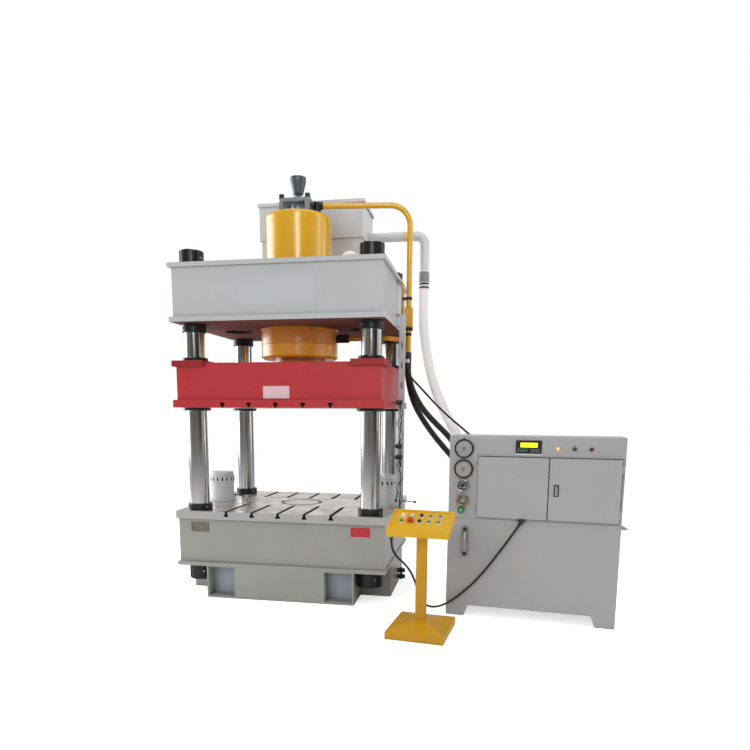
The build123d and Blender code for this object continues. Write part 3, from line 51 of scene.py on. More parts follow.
PHOTO_SIZE = 750

Point = tuple[float, float, float]
Outline = Sequence[tuple[float, float]]
Socket = bpy.types.NodeSocket


def linear(code: str) -> tuple[float, ...]:
    """Turn an sRGB hex colour to linear light, with an alpha of one."""
    parts = [int(code[i:i + 2], 16) / 255 for i in (1, 3, 5)]
    return (*(c / 12.92 if c <= 0.04045 else ((c + 0.055) / 1.055) ** 2.4 for c in parts), 1.0)


class Graph:
    """Node tree of one material or world, filled node by node."""

    def __init__(self, tree: bpy.types.NodeTree, output: str) -> None:
        """Clear a tree and give it its output node.

        Args:
            tree: The node tree to fill.
            output: Kind of the output node.
        """
        self.tree = tree
        tree.nodes.clear()
        self.out = tree.nodes.new(output)

    def add(self, kind: str, inputs: Optional[dict] = None, out: Any = 0, **settings: Any) -> Socket:
        """Add a node with its settings and links.

        Args:
            kind: Type of the node, without the prefix of shader nodes.
            inputs: Values or sockets for its inputs, by name or index.
            out: Name or index of the output that is wanted.
            settings: Properties of the node; stops are the places and hex codes of a colour ramp, of which
                the first two come in the order of its own two elements.

        Returns:
            The wanted output socket.
        """
        node = self.tree.nodes.new("ShaderNode" + kind)
        for key, value in settings.items():
            if key == "stops":
                for i, (place, code) in enumerate(value):
                    stop = node.color_ramp.elements[i] if i < 2 else node.color_ramp.elements.new(place)
                    stop.position, stop.color = place, linear(code)
            else:
                setattr(node, key, value)
        for key, value in (inputs or {}).items():
            if isinstance(value, Socket):
                self.tree.links.new(value, node.inputs[key])
            else:
                node.inputs[key].default_value = value
        return node.outputs[out]

    def close(self, shader: Socket) -> None:
        """Link the finished shader to the output."""
        self.tree.links.new(shader, self.out.inputs["Surface"])

    @property
    def point(self) -> Socket:
        """Object coordinates of the shaded point."""
        return self.add("TexCoord", out="Object")

    def axis(self, vector: Socket, name: str, absolute: bool = False) -> Socket:
        """Take one coordinate out of a vector, without its sign where asked."""
        value = self.add("SeparateXYZ", {0: vector}, out=name)
        return self.add("Math", {0: value}, operation="ABSOLUTE") if absolute else value

    def within(self, low: Point, high: Point, mirrored: bool = False) -> Socket:
        """Mark the points inside a box of Object coordinates.

        Args:
            low: Lowest corner in metres.
            high: Highest corner in metres.
            mirrored: Whether X and Y lose their sign first.

        Returns:
            One inside the box and zero outside.
        """
        mark = None
        for name, a, b in zip("XYZ", low, high):
            value = self.axis(self.point, name, mirrored and name != "Z")
            test = self.add("Math", {0: value, 1: (a + b) / 2, 2: (b - a) / 2}, operation="COMPARE")
            mark = test if mark is None else self.add("Math", {0: mark, 1: test}, operation="MULTIPLY")
        return mark

    def tint(self, factor: Any, first: Any, second: Any) -> Socket:
        """Blend two colours, given as hex codes or sockets."""
        a, b = (linear(c) if isinstance(c, str) else c for c in (first, second))
        return self.add("Mix", {0: factor, 6: a, 7: b}, out=2, data_type="RGBA")


@dataclass(frozen=True)
class Finish:
    """A surface finish that makes its material once and hands it out again."""

    name: str

    def shader(self, graph: Graph) -> Socket:
        """Build the finish in a graph and give its shader."""
        raise NotImplementedError

    def material(self) -> bpy.types.Material:
        """Give the material of this finish, making it the first time.

        Returns:
            The material.
        """
        found = bpy.data.materials.get(self.name)
        if found is None:
            found = bpy.data.materials.new(self.name)
            found.use_nodes = True
            graph = Graph(found.node_tree, "ShaderNodeOutputMaterial")
            graph.close(self.shader(graph))
        return found


@dataclass(frozen=True)
class MachinePaint(Finish):
    """Two-pack machine enamel, sprayed over filler on welded steel plate.

    The eye gets soft broad highlights, a faint drift of tone between spray passes, orange peel, rounded
    edges where the coat is rubbed, dust on faces that look up, and grime with painted shade in the corners.
    """

    colour: str = "#B0B0AE"
    shade: str = "#A6A6A4"
    edge: str = "#D0D0CE"
    # Colour of the grime and painted shade in inner corners
    dirt: str = "#5A5148"
    gloss: float = 0.34
    dust: float = 0.18
    # Strength of the grime and painted shade in inner corners
    grime: float = 0.42
    shine: float = 0.18

    def shader(self, graph: Graph) -> Socket:
        """Build enamel with its drift, dust, grime and painted shade in corners, rubbed edges and orange
        peel.

        Args:
            graph: The graph to build it in.

        Returns:
            The shader.
        """
        point = graph.point
        true_normal = graph.add("NewGeometry", out="True Normal")
        # Spray passes overlap about every 350 mm
        drift = graph.add("TexNoise", {"Vector": point, "Scale": 1 / 0.35, "Detail": 4.0})
        tone = graph.tint(drift, self.colour, self.shade)
        # Dust settles in patches of about 60 mm on faces that look up
        up = graph.add("MapRange", {"Value": graph.axis(true_normal, "Z"), 1: 0.5, 2: 0.95})
        patch = graph.add("TexNoise", {"Vector": point, "Scale": 1 / 0.06, "Detail": 6.0})
        settled = graph.add("Math", {0: up, 1: patch}, operation="MULTIPLY")
        settled = graph.add("Math", {0: settled, 1: self.dust * 2}, operation="MULTIPLY")
        tone = graph.tint(settled, tone, "#9A948A")
        # Grime and painted shade darken inner corners, found by ambient occlusion within about 50 mm
        open_sky = graph.add("AmbientOcclusion", {"Distance": 0.05}, out="AO", samples=4)
        corner = graph.add("MapRange", {"Value": open_sky, 1: 0.75, 2: 0.2, 3: 0.0, 4: self.grime})
        tone = graph.tint(corner, tone, self.dirt)
        # Edges have a radius of about 2 mm and the coat is thin on them
        rounded = graph.add("Bevel", {"Radius": 0.002}, samples=4)
        turn = graph.add("VectorMath", {0: rounded, 1: true_normal}, out=1, operation="DOT_PRODUCT")
        rubbed = graph.add("MapRange", {"Value": turn, 1: 0.985, 2: 0.8, 3: 0.0, 4: 0.45})
        rubbed = graph.add("Math", {0: rubbed, 1: patch}, operation="MULTIPLY")
        tone = graph.tint(rubbed, tone, self.edge)
        # Orange peel of 5 mm, with the slow waves of the filler under it
        peel = graph.add("TexNoise", {"Vector": point, "Scale": 1 / 0.005, "Detail": 2.0})
        waves = graph.add("TexNoise", {"Vector": point, "Scale": 1 / 0.09, "Detail": 2.0})
        relief = graph.add("Bump", {"Strength": 0.10, "Distance": 0.0006, "Height": peel, "Normal": rounded})
        relief = graph.add("Bump", {"Strength": 0.22, "Distance": 0.0022, "Height": waves, "Normal": relief})
        rough = graph.add("MapRange", {"Value": patch, 3: self.gloss - 0.05, 4: self.gloss + 0.1})
        return graph.add("BsdfPrincipled", {
            "Base Color": tone, "Roughness": rough, "Normal": relief, "IOR": 1.5,
            "Coat Weight": self.shine, "Coat Roughness": 0.16,
        })


@dataclass(frozen=True)
class BareSteel(Finish):
    """Machined carbon steel, ground or turned, with a thin film of oil.

    The eye gets a grey metal with brownish blotches, fine tool marks one way and darker oily patches. On
    the table and the ejector disc the blotches are painted reflections as well as stains.
    """

    colour: str = "#A9A5A0"
    stain: str = "#6F6257"
    lay: Point = (3.0, 700.0, 300.0)
    rough: float = 0.36
    spread: float = 0.14
    metallic: float = 1.0

    def shader(self, graph: Graph) -> Socket:
        """Build blotched steel, with painted reflections on the table and disc, and tool marks along the lay.

        Args:
            graph: The graph to build it in.

        Returns:
            The shader.
        """
        point = graph.point
        # Blotches in the second colour; on the table and disc they paint reflections as well as stains
        blot = graph.add("TexNoise", {
            "Vector": point, "Scale": 1 / self.spread, "Detail": 7.0, "Roughness": 0.6, "Distortion": 0.4,
        })
        blotch_and_reflection_mask = graph.add("MapRange", {"Value": blot, 1: 0.38, 2: 0.72})
        tone = graph.tint(blotch_and_reflection_mask, self.colour, self.stain)
        # Tool marks are drawn about 2 mm apart, coarser than real, so that they show
        along = graph.add("VectorMath", {0: point, 1: self.lay}, operation="MULTIPLY")
        marks = graph.add("TexNoise", {"Vector": along, "Scale": 1.0, "Detail": 3.0})
        rounded = graph.add("Bevel", {"Radius": 0.0012}, samples=4)
        relief = graph.add("Bump", {"Strength": 0.25, "Distance": 0.0003, "Height": marks, "Normal": rounded})
        rough = graph.add("MapRange", {"Value": blotch_and_reflection_mask, 3: self.rough, 4: self.rough + 0.18})
        return graph.add("BsdfPrincipled", {
            "Base Color": tone, "Metallic": self.metallic, "Roughness": rough, "Normal": relief,
        })


@dataclass(frozen=True)
class HardChrome(Finish):
    """Hard chrome on a ground steel column.

    The eye gets a bright mirror drawn out into upright streaks, with faint oil runs down it and the fine
    rings of the grinding wheel across it.
    """

    colour: str = "#BFC0C0"
    oil: str = "#5E544B"
    rough: float = 0.17

    def shader(self, graph: Graph) -> Socket:
        """Build chrome with oil runs down it and grinding rings round it.

        Args:
            graph: The graph to build it in.

        Returns:
            The shader.
        """
        point = graph.point
        # Oil runs are about 20 mm wide and run the length of the column
        down = graph.add("VectorMath", {0: point, 1: (45.0, 45.0, 0.5)}, operation="MULTIPLY")
        runs = graph.add("TexNoise", {"Vector": down, "Scale": 1.0, "Detail": 3.0})
        film = graph.add("MapRange", {"Value": runs, 1: 0.5, 2: 0.85, 3: 0.0, 4: 0.4})
        tone = graph.tint(film, self.colour, self.oil)
        # Grinding rings are drawn about 3 mm apart, coarser than real
        across = graph.add("VectorMath", {0: point, 1: (1.0, 1.0, 330.0)}, operation="MULTIPLY")
        rings = graph.add("TexNoise", {"Vector": across, "Scale": 1.0, "Detail": 2.0})
        relief = graph.add("Bump", {"Strength": 0.05, "Distance": 0.0002, "Height": rings})
        rough = graph.add("MapRange", {"Value": film, 3: self.rough, 4: self.rough + 0.2})
        return graph.add("BsdfPrincipled", {
            "Base Color": tone, "Metallic": 1.0, "Roughness": rough, "Normal": relief,
        })


@dataclass(frozen=True)
class CastMetal(Finish):
    """Cast, forged or blackened metal with its skin left on.

    The eye gets a fine grainy surface, dull in the hollows and brighter where edges are rubbed.
    """

    colour: str = "#6F7780"
    edge: str = "#A6ABB0"
    rough: float = 0.45
    metallic: float = 0.7
    grain: float = 0.003

    def shader(self, graph: Graph) -> Socket:
        """Build grainy metal with rubbed edges.

        Args:
            graph: The graph to build it in.

        Returns:
            The shader.
        """
        point = graph.point
        grain = graph.add("TexNoise", {"Vector": point, "Scale": 1 / self.grain, "Detail": 3.0})
        patch = graph.add("TexNoise", {"Vector": point, "Scale": 1 / 0.05, "Detail": 4.0})
        rounded = graph.add("Bevel", {"Radius": 0.0015}, samples=4)
        true_normal = graph.add("NewGeometry", out="True Normal")
        turn = graph.add("VectorMath", {0: rounded, 1: true_normal}, out=1, operation="DOT_PRODUCT")
        rubbed = graph.add("MapRange", {"Value": turn, 1: 0.98, 2: 0.75, 3: 0.0, 4: 0.8})
        tone = graph.tint(rubbed, self.colour, self.edge)
        relief = graph.add("Bump", {"Strength": 0.3, "Distance": 0.0004, "Height": grain, "Normal": rounded})
        rough = graph.add("MapRange", {"Value": patch, 3: self.rough - 0.08, 4: self.rough + 0.1})
        return graph.add("BsdfPrincipled", {
            "Base Color": tone, "Metallic": self.metallic, "Roughness": rough, "Normal": relief,
        })


@dataclass(frozen=True)
class Moulded(Finish):
    """Injection-moulded plastic, such as ABS or polycarbonate.

    The eye gets an even colour with a fine spark-eroded grain, slightly worn where it is touched.
    """

    colour: str = "#1A1B1D"
    rough: float = 0.42
    glow: float = 0.0

    def shader(self, graph: Graph) -> Socket:
        """Build grained plastic, lit from inside where asked.

        Args:
            graph: The graph to build it in.

        Returns:
            The shader.
        """
        point = graph.point
        grain = graph.add("TexNoise", {"Vector": point, "Scale": 1 / 0.0012, "Detail": 2.0})
        touch = graph.add("TexNoise", {"Vector": point, "Scale": 1 / 0.02, "Detail": 4.0})
        relief = graph.add("Bump", {"Strength": 0.15, "Distance": 0.0002, "Height": grain})
        rough = graph.add("MapRange", {"Value": touch, 3: self.rough - 0.08, 4: self.rough + 0.08})
        return graph.add("BsdfPrincipled", {
            "Base Color": linear(self.colour), "Roughness": rough, "Normal": relief, "IOR": 1.53,
            "Emission Color": linear(self.colour), "Emission Strength": self.glow,
        })


@dataclass(frozen=True)
class LitLens(Finish):
    """Ribbed lamp lens with a lit lamp behind it.

    The eye gets a white-hot centre that falls off to the lens colour at the rim.
    """

    colour: str = "#FF8218"
    heart: str = "#FFF0B8"
    centre: Point = (0.0, 0.0, 0.0)
    radius: float = 0.012
    glow: float = 1.0

    def shader(self, graph: Graph) -> Socket:
        """Build a glow that falls off from the lens centre.

        Args:
            graph: The graph to build it in.

        Returns:
            The shader.
        """
        away = graph.add("VectorMath", {0: graph.point, 1: self.centre}, out=1, operation="DISTANCE")
        rim = graph.add("MapRange", {"Value": away, 1: 0.2 * self.radius, 2: 0.95 * self.radius})
        tone = graph.tint(rim, self.heart, self.colour)
        return graph.add("BsdfPrincipled", {
            "Base Color": linear(self.colour), "Roughness": 0.2, "IOR": 1.49,
            "Emission Color": tone, "Emission Strength": self.glow,
        })


@dataclass(frozen=True)
class HoseRubber(Finish):
    """Nitrile hose cover with the print of its wrapping cloth.

    The eye gets a deep matt black with a fine woven print and a dusty bloom on top.
    """

    colour: str = "#0B0B0B"
    bloom: str = "#211F1D"
    weave: float = 0.004

    def shader(self, graph: Graph) -> Socket:
        """Build rubber with a cloth print and dust on top.

        Args:
            graph: The graph to build it in.

        Returns:
            The shader.
        """
        point = graph.point
        true_normal = graph.add("NewGeometry", out="Normal")
        up = graph.add("MapRange", {"Value": graph.axis(true_normal, "Z"), 1: 0.2, 2: 1.0, 4: 0.5})
        patch = graph.add("TexNoise", {"Vector": point, "Scale": 1 / 0.04, "Detail": 5.0})
        settled = graph.add("Math", {0: up, 1: patch}, operation="MULTIPLY")
        tone = graph.tint(settled, self.colour, self.bloom)
        cloth = graph.add("TexVoronoi", {"Vector": point, "Scale": 1 / self.weave})
        relief = graph.add("Bump", {"Strength": 0.3, "Distance": 0.0004, "Height": cloth})
        return graph.add("BsdfPrincipled", {
            "Base Color": tone, "Roughness": 0.62, "Normal": relief, "IOR": 1.52,
        })


@dataclass(frozen=True)
class MilkyHose(Finish):
    """Plasticised PVC suction hose, milky with age and wet with oil inside.

    The eye gets a soft grey-white body that lets a little light in and shines softly along its length.
    """

    colour: str = "#FBFAF9"
    shade: str = "#EEECEB"

    def shader(self, graph: Graph) -> Socket:
        """Build milky PVC with darker clouds of oil inside; a faint glow stands for the light let through.

        Args:
            graph: The graph to build it in.

        Returns:
            The shader.
        """
        clouds = graph.add("TexNoise", {"Vector": graph.point, "Scale": 1 / 0.12, "Detail": 4.0})
        mark = graph.add("MapRange", {"Value": clouds, 1: 0.35, 2: 0.75})
        tone = graph.tint(mark, self.colour, self.shade)
        return graph.add("BsdfPrincipled", {
            "Base Color": tone, "Roughness": 0.4, "IOR": 1.53, "Transmission Weight": 0.7,
            "Subsurface Weight": 0.15, "Subsurface Radius": (0.01, 0.01, 0.01),
            "Emission Color": tone, "Emission Strength": 0.1,
        })


@dataclass(frozen=True)
class ClearGlass(Finish):
    """Float glass or acrylic over a dial or a lamp.

    The eye gets a thin bright edge and a faint sheen, with what lies behind almost unchanged.
    """

    colour: str = "#F4F8F7"

    def shader(self, graph: Graph) -> Socket:
        """Build glass that is mostly see-through, with a sharp gloss.

        Args:
            graph: The graph to build it in.

        Returns:
            The shader.
        """
        smear = graph.add("TexNoise", {"Vector": graph.point, "Scale": 1 / 0.03, "Detail": 3.0})
        rough = graph.add("MapRange", {"Value": smear, 3: 0.02, 4: 0.09})
        return graph.add("BsdfPrincipled", {
            "Base Color": linear(self.colour), "Roughness": rough, "IOR": 1.49, "Alpha": 0.12,
            "Specular IOR Level": 0.5,
        })


STOP_MIDDLE = (0.69, 0.0, 0.0)
STOP_RADIUS = 0.0965
GLAND_BOX = ((1.6, -1, 0.6), (1.85, 0, 0.703))


class Zone(Enum):
    """Parts of a CAD node that carry another finish than the rest.

    Most are boxes, which are mirrored in X and Y where the third value says so. The last three are what
    stands out past a depth, counted outward from the oil unit's front.
    """

    TABLE_STEEL = ((-1, -1, 0.601), (0.7975, 0.6275, 0.67), True)
    # Slot walls take dark oily steel, which also paints their shade
    TABLE_SLOTS = ((-1, -1, 0.601), (0.7975, 0.6275, 0.6572), True)
    SLIDE_STEEL = ((-1, -1, 1.40), (0.7805, 0.6355, 1.4795), True)
    SLIDE_SLOTS = ((-1, -1, 1.4256), (0.7805, 0.6355, 1.4795), True)
    # Underside of the crown, painted darker and redder as shade and the slide's reflection
    CROWN_BELOW = ((-1, -1, 2.0), (1, 1, 2.0305), True)
    # Inside of the crown, painted dark as shade
    CROWN_INSIDE = ((-1, -1, 2.0312), (0.7575, 0.6225, 2.4), True)
    # Lower end of the ram, where the gland's yellow reflection is painted
    RAM_FOOT = ((-1, -1, 1.7), (1, 1, 1.804))
    CYLINDER_FLANGE = ((-1, -1, 1.8), (1, 1, 2.0305))
    POCKET_BACK = ((0.346, 0.45, 0.016), (0.556, 0.5245, 0.2375), True)
    SLIDE_PADS = ((0.52, 0.37, 1.7175), (0.80, 0.66, 1.77), True)
    PILOT_CUP = ((-1, -1, 3.02), (1, 1, 3.3))
    STOP_LEVERS = ((-2, -2, 0.6785), (2, 2, 0.72))
    LOCK_PLATE = 0.0215
    CABLE_ENTRY = 0.0005
    SWITCH_GEAR = -0.2895

    def mask(self, graph: Graph) -> Socket:
        """Build the mask of this zone.

        Args:
            graph: The graph that the mask is for.

        Returns:
            One in the zone and zero elsewhere.
        """
        if isinstance(self.value, tuple):
            box = graph.within(*self.value)
            return self.past_block(graph, box) if self is Zone.STOP_LEVERS else box
        face = UNIT_FRONT.col[2].xyz
        depth = graph.add("VectorMath", {0: graph.point, 1: tuple(face)}, out=1, operation="DOT_PRODUCT")
        limit = UNIT_FRONT.translation.dot(face) + self.value
        ahead = graph.add("Math", {0: depth, 1: limit}, operation="GREATER_THAN")
        if self is not Zone.CABLE_ENTRY:
            return ahead
        return graph.add("Math", {0: ahead, 1: graph.within(*GLAND_BOX)}, operation="MULTIPLY")

    def past_block(self, graph: Graph, box: Socket) -> Socket:
        """Keep the part of a box that lies outside the round stop blocks.

        Args:
            graph: The graph that the mask is for.
            box: Mask of the box.

        Returns:
            The mask of that part.
        """
        point = graph.point
        flat = graph.add("CombineXYZ", {"X": graph.axis(point, "X", True), "Y": graph.axis(point, "Y")})
        away = graph.add("VectorMath", {0: flat, 1: STOP_MIDDLE}, out=1, operation="DISTANCE")
        past = graph.add("Math", {0: away, 1: STOP_RADIUS}, operation="GREATER_THAN")
        return graph.add("Math", {0: past, 1: box}, operation="MULTIPLY")


@dataclass(frozen=True)
class TwoFinishes(Finish):
    """One finish with another laid over a zone of the same node."""

    main: Finish = None
    other: Finish = None
    zone: Zone = Zone.TABLE_STEEL

    def shader(self, graph: Graph) -> Socket:
        """Mix the two shaders by the mask of the zone.

        Args:
            graph: The graph to build it in.

        Returns:
            The shader.
        """
        return graph.add("MixShader", {
            0: self.zone.mask(graph), 1: self.main.shader(graph), 2: self.other.shader(graph),
        })


def working_plane(origin: Point, x_axis: Point, y_axis: Point) -> Matrix:
    """Set up a flat working plane.

    Args:
        origin: Its origin in metres.
        x_axis: Direction of its X.
        y_axis: Direction in the plane that Y leans to.

    Returns:
        The matrix, with Z out of the plane.
    """
    x = Vector(x_axis).normalized()
    z = x.cross(Vector(y_axis)).normalized()
    plane = Matrix((x, z.cross(x), z)).transposed().to_4x4()
    plane.translation = Vector(origin)
    return plane


def on(plane: Matrix, x: float, y: float, out: float = 0.0, turn: float = 0.0) -> Matrix:
    """Give a place on a plane, in millimetres, turned by degrees about its normal."""
    return plane @ Matrix.Translation((x * MM, y * MM, out * MM)) @ Matrix.Rotation(radians(turn), 4, "Z")


def aimed(spot: Sequence[float], direction: Sequence[float]) -> Matrix:
    """Give a place that looks along a direction.

    Args:
        spot: Where it is, in millimetres.
        direction: Where its Z points.

    Returns:
        The place.
    """
    place = Vector(direction).to_track_quat("Z", "Y").to_matrix().to_4x4()
    place.translation = Vector(spot) * MM
    return place


def around(radius: float, turn: float) -> tuple[float, float]:
    """Give the point on a circle at a turn in degrees."""
    return radius * cos(radians(turn)), radius * sin(radians(turn))


UNIT_X = (0.994394, -0.105743, 0.0)
UNIT_Y = (0.105743, 0.994394, 0.0)
UNIT_ORIGIN = (1.239, -0.677, 0.0)
PANEL_ORIGIN = (1.082479, -1.232471, 0.699216)
PANEL_X = (0.991445, -0.130526, 0.0)
PANEL_Y = (0.121107, 0.919898, 0.372988)
UPRIGHT = (0.0, 0.0, 1.0)
GROUND = Matrix.Identity(4)
PRESS_FRONT = working_plane((0, 0, 0), (1, 0, 0), UPRIGHT)
PRESS_RIGHT = working_plane((0, 0, 0), (0, 1, 0), UPRIGHT)
UNIT_GROUND = working_plane(UNIT_ORIGIN, UNIT_X, UNIT_Y)
UNIT_FRONT = working_plane(UNIT_ORIGIN, UNIT_X, UPRIGHT)
UNIT_BACK = working_plane(UNIT_ORIGIN, tuple(-c for c in UNIT_X), UPRIGHT)
PANEL = working_plane(PANEL_ORIGIN, PANEL_X, PANEL_Y)
CORNERS = ((-1, -1), (-1, 1), (1, -1), (1, 1))


def front(s: float, z: float, out: float = 0.0) -> Matrix:
    """Give a place on the oil unit's front, from its left edge and the floor."""
    return on(UNIT_FRONT, s, z, out)


def linked(name: str, data: Any) -> bpy.types.Object:
    """Make an object of some data and link it to the scene.

    Args:
        name: Name of the object.
        data: Its mesh, curve, camera or light.

    Returns:
        The object.
    """
    made = bpy.data.objects.new(name, data)
    bpy.context.scene.collection.objects.link(made)
    return made


def meshed(curve: bpy.types.Curve) -> bmesh.types.BMesh:
    """Turn a curve or text to an editable mesh and remove the curve.

    Args:
        curve: The curve or text.

    Returns:
        The mesh.
    """
    holder = linked("holder", curve)
    bpy.context.view_layer.update()
    data = bpy.data.meshes.new_from_object(holder.evaluated_get(bpy.context.evaluated_depsgraph_get()))
    bpy.data.objects.remove(holder)
    bpy.data.curves.remove(curve)
    part = bmesh.new()
    part.from_mesh(data)
    bpy.data.meshes.remove(data)
    return part


def round_edges(part: bmesh.types.BMesh, edge: float, steps: int) -> None:
    """Round the edges of a part.

    Args:
        part: The part.
        edge: Radius of the edges, zero for sharp ones.
        steps: Faces across each rounded edge.
    """
    if edge:
        bmesh.ops.bevel(
            part, geom=part.edges[:], offset=edge, segments=steps, profile=0.5, affect="EDGES", material=-1,
        )


class Shape:
    """A mesh that is shaped part by part, in millimetres, and then made a piece."""

    def __init__(self) -> None:
        """Start with an empty mesh."""
        self.mesh = bmesh.new()

    def join(self, part: bmesh.types.BMesh, place: Matrix) -> "Shape":
        """Set a part down at its place and join it.

        Args:
            part: The part in millimetres.
            place: Where it goes.

        Returns:
            This shape.
        """
        bmesh.ops.recalc_face_normals(part, faces=part.faces)
        bmesh.ops.transform(part, matrix=place @ Matrix.Scale(MM, 4), verts=part.verts)
        data = bpy.data.meshes.new("part")
        part.to_mesh(data)
        part.free()
        self.mesh.from_mesh(data)
        bpy.data.meshes.remove(data)
        return self

    def block(self, size: Point, place: Matrix, edge: float = 0.0, steps: int = 2) -> "Shape":
        """Add a block that stands on its place, with rounded edges.

        Args:
            size: Its width, depth and height.
            place: The middle of its foot.
            edge: Radius of its edges.
            steps: Faces across each rounded edge.

        Returns:
            This shape.
        """
        part = bmesh.new()
        bmesh.ops.create_cube(part, size=1.0)
        bmesh.ops.scale(part, vec=size, verts=part.verts)
        bmesh.ops.translate(part, vec=(0, 0, size[2] / 2), verts=part.verts)
        round_edges(part, edge, steps)
        return self.join(part, place)

    def turned(self, outline: Outline, place: Matrix, steps: int = 32, ring: bool = False) -> "Shape":
        """Add a turned part from half its cross-section.

        Args:
            outline: Radius and height of each corner.
            place: Foot of its axis.
            steps: Faces round it.
            ring: Whether the outline closes on itself.

        Returns:
            This shape.
        """
        part = bmesh.new()
        corners = [part.verts.new((r, 0, z)) for r, z in outline]
        pairs = list(zip(corners, corners[1:])) + ([(corners[-1], corners[0])] if ring else [])
        edges = [part.edges.new(pair) for pair in pairs]
        bmesh.ops.spin(
            part, geom=corners + edges, cent=(0, 0, 0), axis=(0, 0, 1), angle=tau, steps=steps,
            use_merge=True,
        )
        bmesh.ops.remove_doubles(part, verts=part.verts, dist=1e-4)
        return self.join(part, place)

    def ring(self, inner: float, outer: float, low: float, high: float, place: Matrix, steps: int) -> "Shape":
        """Add a ring of rectangular section between two radii and two heights on its axis."""
        return self.turned([(inner, low), (outer, low), (outer, high), (inner, high)], place, steps, True)

    def plate(self, outline: Outline, thickness: float, place: Matrix, edge: float) -> "Shape":
        """Add a flat plate cut to an outline.

        Args:
            outline: Its corners in order.
            thickness: How thick it is.
            place: Where its underside lies.
            edge: Radius of its edges.

        Returns:
            This shape.
        """
        part = bmesh.new()
        face = part.faces.new([part.verts.new((x, y, 0)) for x, y in outline])
        grown = bmesh.ops.extrude_face_region(part, geom=[face])["geom"]
        lifted = [v for v in grown if isinstance(v, bmesh.types.BMVert)]
        bmesh.ops.translate(part, vec=(0, 0, thickness), verts=lifted)
        round_edges(part, edge, 2)
        return self.join(part, place)

    def swept(self, points: Sequence[Point], radius: float, place: Matrix, sides: int = 3,
              closed: bool = False) -> "Shape":
        """Add a round bar along points.

        Args:
            points: The points it runs through, in millimetres.
            radius: Its radius.
            place: Where it goes.
            sides: Fineness of its section.
            closed: Whether it closes on itself.

        Returns:
            This shape.
        """
        curve = bpy.data.curves.new("bar", "CURVE")
        curve.dimensions = "3D"
        curve.bevel_depth = radius
        curve.bevel_resolution = sides
        curve.use_fill_caps = True
        spline = curve.splines.new("POLY")
        spline.points.add(len(points) - 1)
        for spot, point in zip(spline.points, points):
            spot.co = (*point, 1)
        spline.use_cyclic_u = closed
        return self.converted(curve, place)

    def letters(self, text: str, height: float, place: Matrix, depth: float = 0.4) -> "Shape":
        """Add raised letters, centred on their place.

        Args:
            text: What they say.
            height: How high they are.
            place: Their middle.
            depth: How far they stand out.

        Returns:
            This shape.
        """
        font = bpy.data.curves.new("letters", "FONT")
        font.body = text
        font.size = height
        font.extrude = depth / 2
        font.align_x = font.align_y = "CENTER"
        return self.converted(font, place)

    def converted(self, curve: bpy.types.Curve, place: Matrix) -> "Shape":
        """Turn a curve or text to mesh and join it.

        Args:
            curve: The curve or text.
            place: Where it goes.

        Returns:
            This shape.
        """
        part = meshed(curve)
        bmesh.ops.remove_doubles(part, verts=part.verts, dist=1e-4)
        return self.join(part, place)

    def cap_screw(self, radius: float, height: float, place: Matrix) -> "Shape":
        """Add the head of a socket screw.

        Args:
            radius: Radius of the head.
            height: Its height.
            place: The middle of its foot.

        Returns:
            This shape.
        """
        rim, floor = 0.12 * radius, 0.45 * height
        return self.turned([
            (0, floor), (0.52 * radius, floor), (0.55 * radius, height),
            (radius - rim, height), (radius, height - rim), (radius, 0), (0, 0),
        ], place, 20)

    def hex_head(self, across: float, height: float, place: Matrix) -> "Shape":
        """Add a hexagon head on a washer.

        Args:
            across: Width of the head across its flats.
            height: Height of head and washer.
            place: The middle of its foot.

        Returns:
            This shape.
        """
        washer, rim = 0.18 * height, 0.62 * across
        corners = [around(across / 2 / cos(pi / 6), turn) for turn in range(0, 360, 60)]
        self.turned([(0, 0), (rim, 0), (rim, washer), (0, washer)], place, 24)
        return self.plate(corners, height - washer, on(place, 0, 0, washer), 0.04 * across)

    def beads(self, x: float, y: float, levels: Sequence[float], radius: float) -> "Shape":
        """Add a weld bead round the press at each level.

        Args:
            x: Half the width between the welds.
            y: Half the depth.
            levels: Heights of the welds.
            radius: Radius of the beads.

        Returns:
            This shape.
        """
        for z in levels:
            self.swept([(-x, -y, z), (x, -y, z), (x, y, z), (-x, y, z)], radius, GROUND, 1, True)
        return self

    def blank_plate(self, place: Matrix, width: float, height: float, rivets: bool = True) -> "Shape":
        """Add a blank name plate with a raised rim.

        Args:
            place: Its middle on the face that carries it.
            width: Its width.
            height: Its height.
            rivets: Whether a rivet holds each corner.

        Returns:
            This shape.
        """
        thick, inset, line, rivet_inset = 1.0, 5.0, 1.2, 9.0
        self.block((width, height, thick), place, 0.4, 1)
        x, y = width / 2 - inset, height / 2 - inset
        for a, b, w, h in (
            (0, y, 2 * x, line), (0, -y, 2 * x, line), (x, 0, line, 2 * y), (-x, 0, line, 2 * y),
        ):
            self.block((w, h, 0.5), on(place, a, b, thick))
        for side, row in CORNERS if rivets else ():
            spot = on(place, side * (width / 2 - rivet_inset), row * (height / 2 - rivet_inset), thick)
            self.turned([(0, 1.6), (1.6, 1.2), (2.6, 0)], spot, 12)
        return self

    def piece(self, name: str, finish: Finish, slot: str, body: str = "frame",
              sharp: float = 35.0) -> bpy.types.Object:
        """Make the shape a piece that rides on a body.

        Args:
            name: Name of the piece.
            finish: Its finish.
            slot: Not used; the material slot that the piece belongs to.
            body: The CAD body that it rides on.
            sharp: Angle in degrees past which an edge stays sharp.

        Returns:
            The new object.
        """
        data = bpy.data.meshes.new(name)
        self.mesh.to_mesh(data)
        self.mesh.free()
        data.shade_smooth()
        data.set_sharp_from_angle(angle=radians(sharp))
        data.materials.append(finish.material())
        made = linked(name, data)
        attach(made, body)
        LOG.info("%s: %d faces on %s", name, len(data.polygons), body)
        return made


def dress(finish: Finish, *nodes: str) -> None:
    """Give CAD nodes a finish.

    Args:
        finish: The finish.
        nodes: Names of the nodes.
    """
    for node in nodes:
        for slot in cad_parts[node].material_slots:
            slot.material = finish.material()
        LOG.info("%s: %s", node, finish.name)
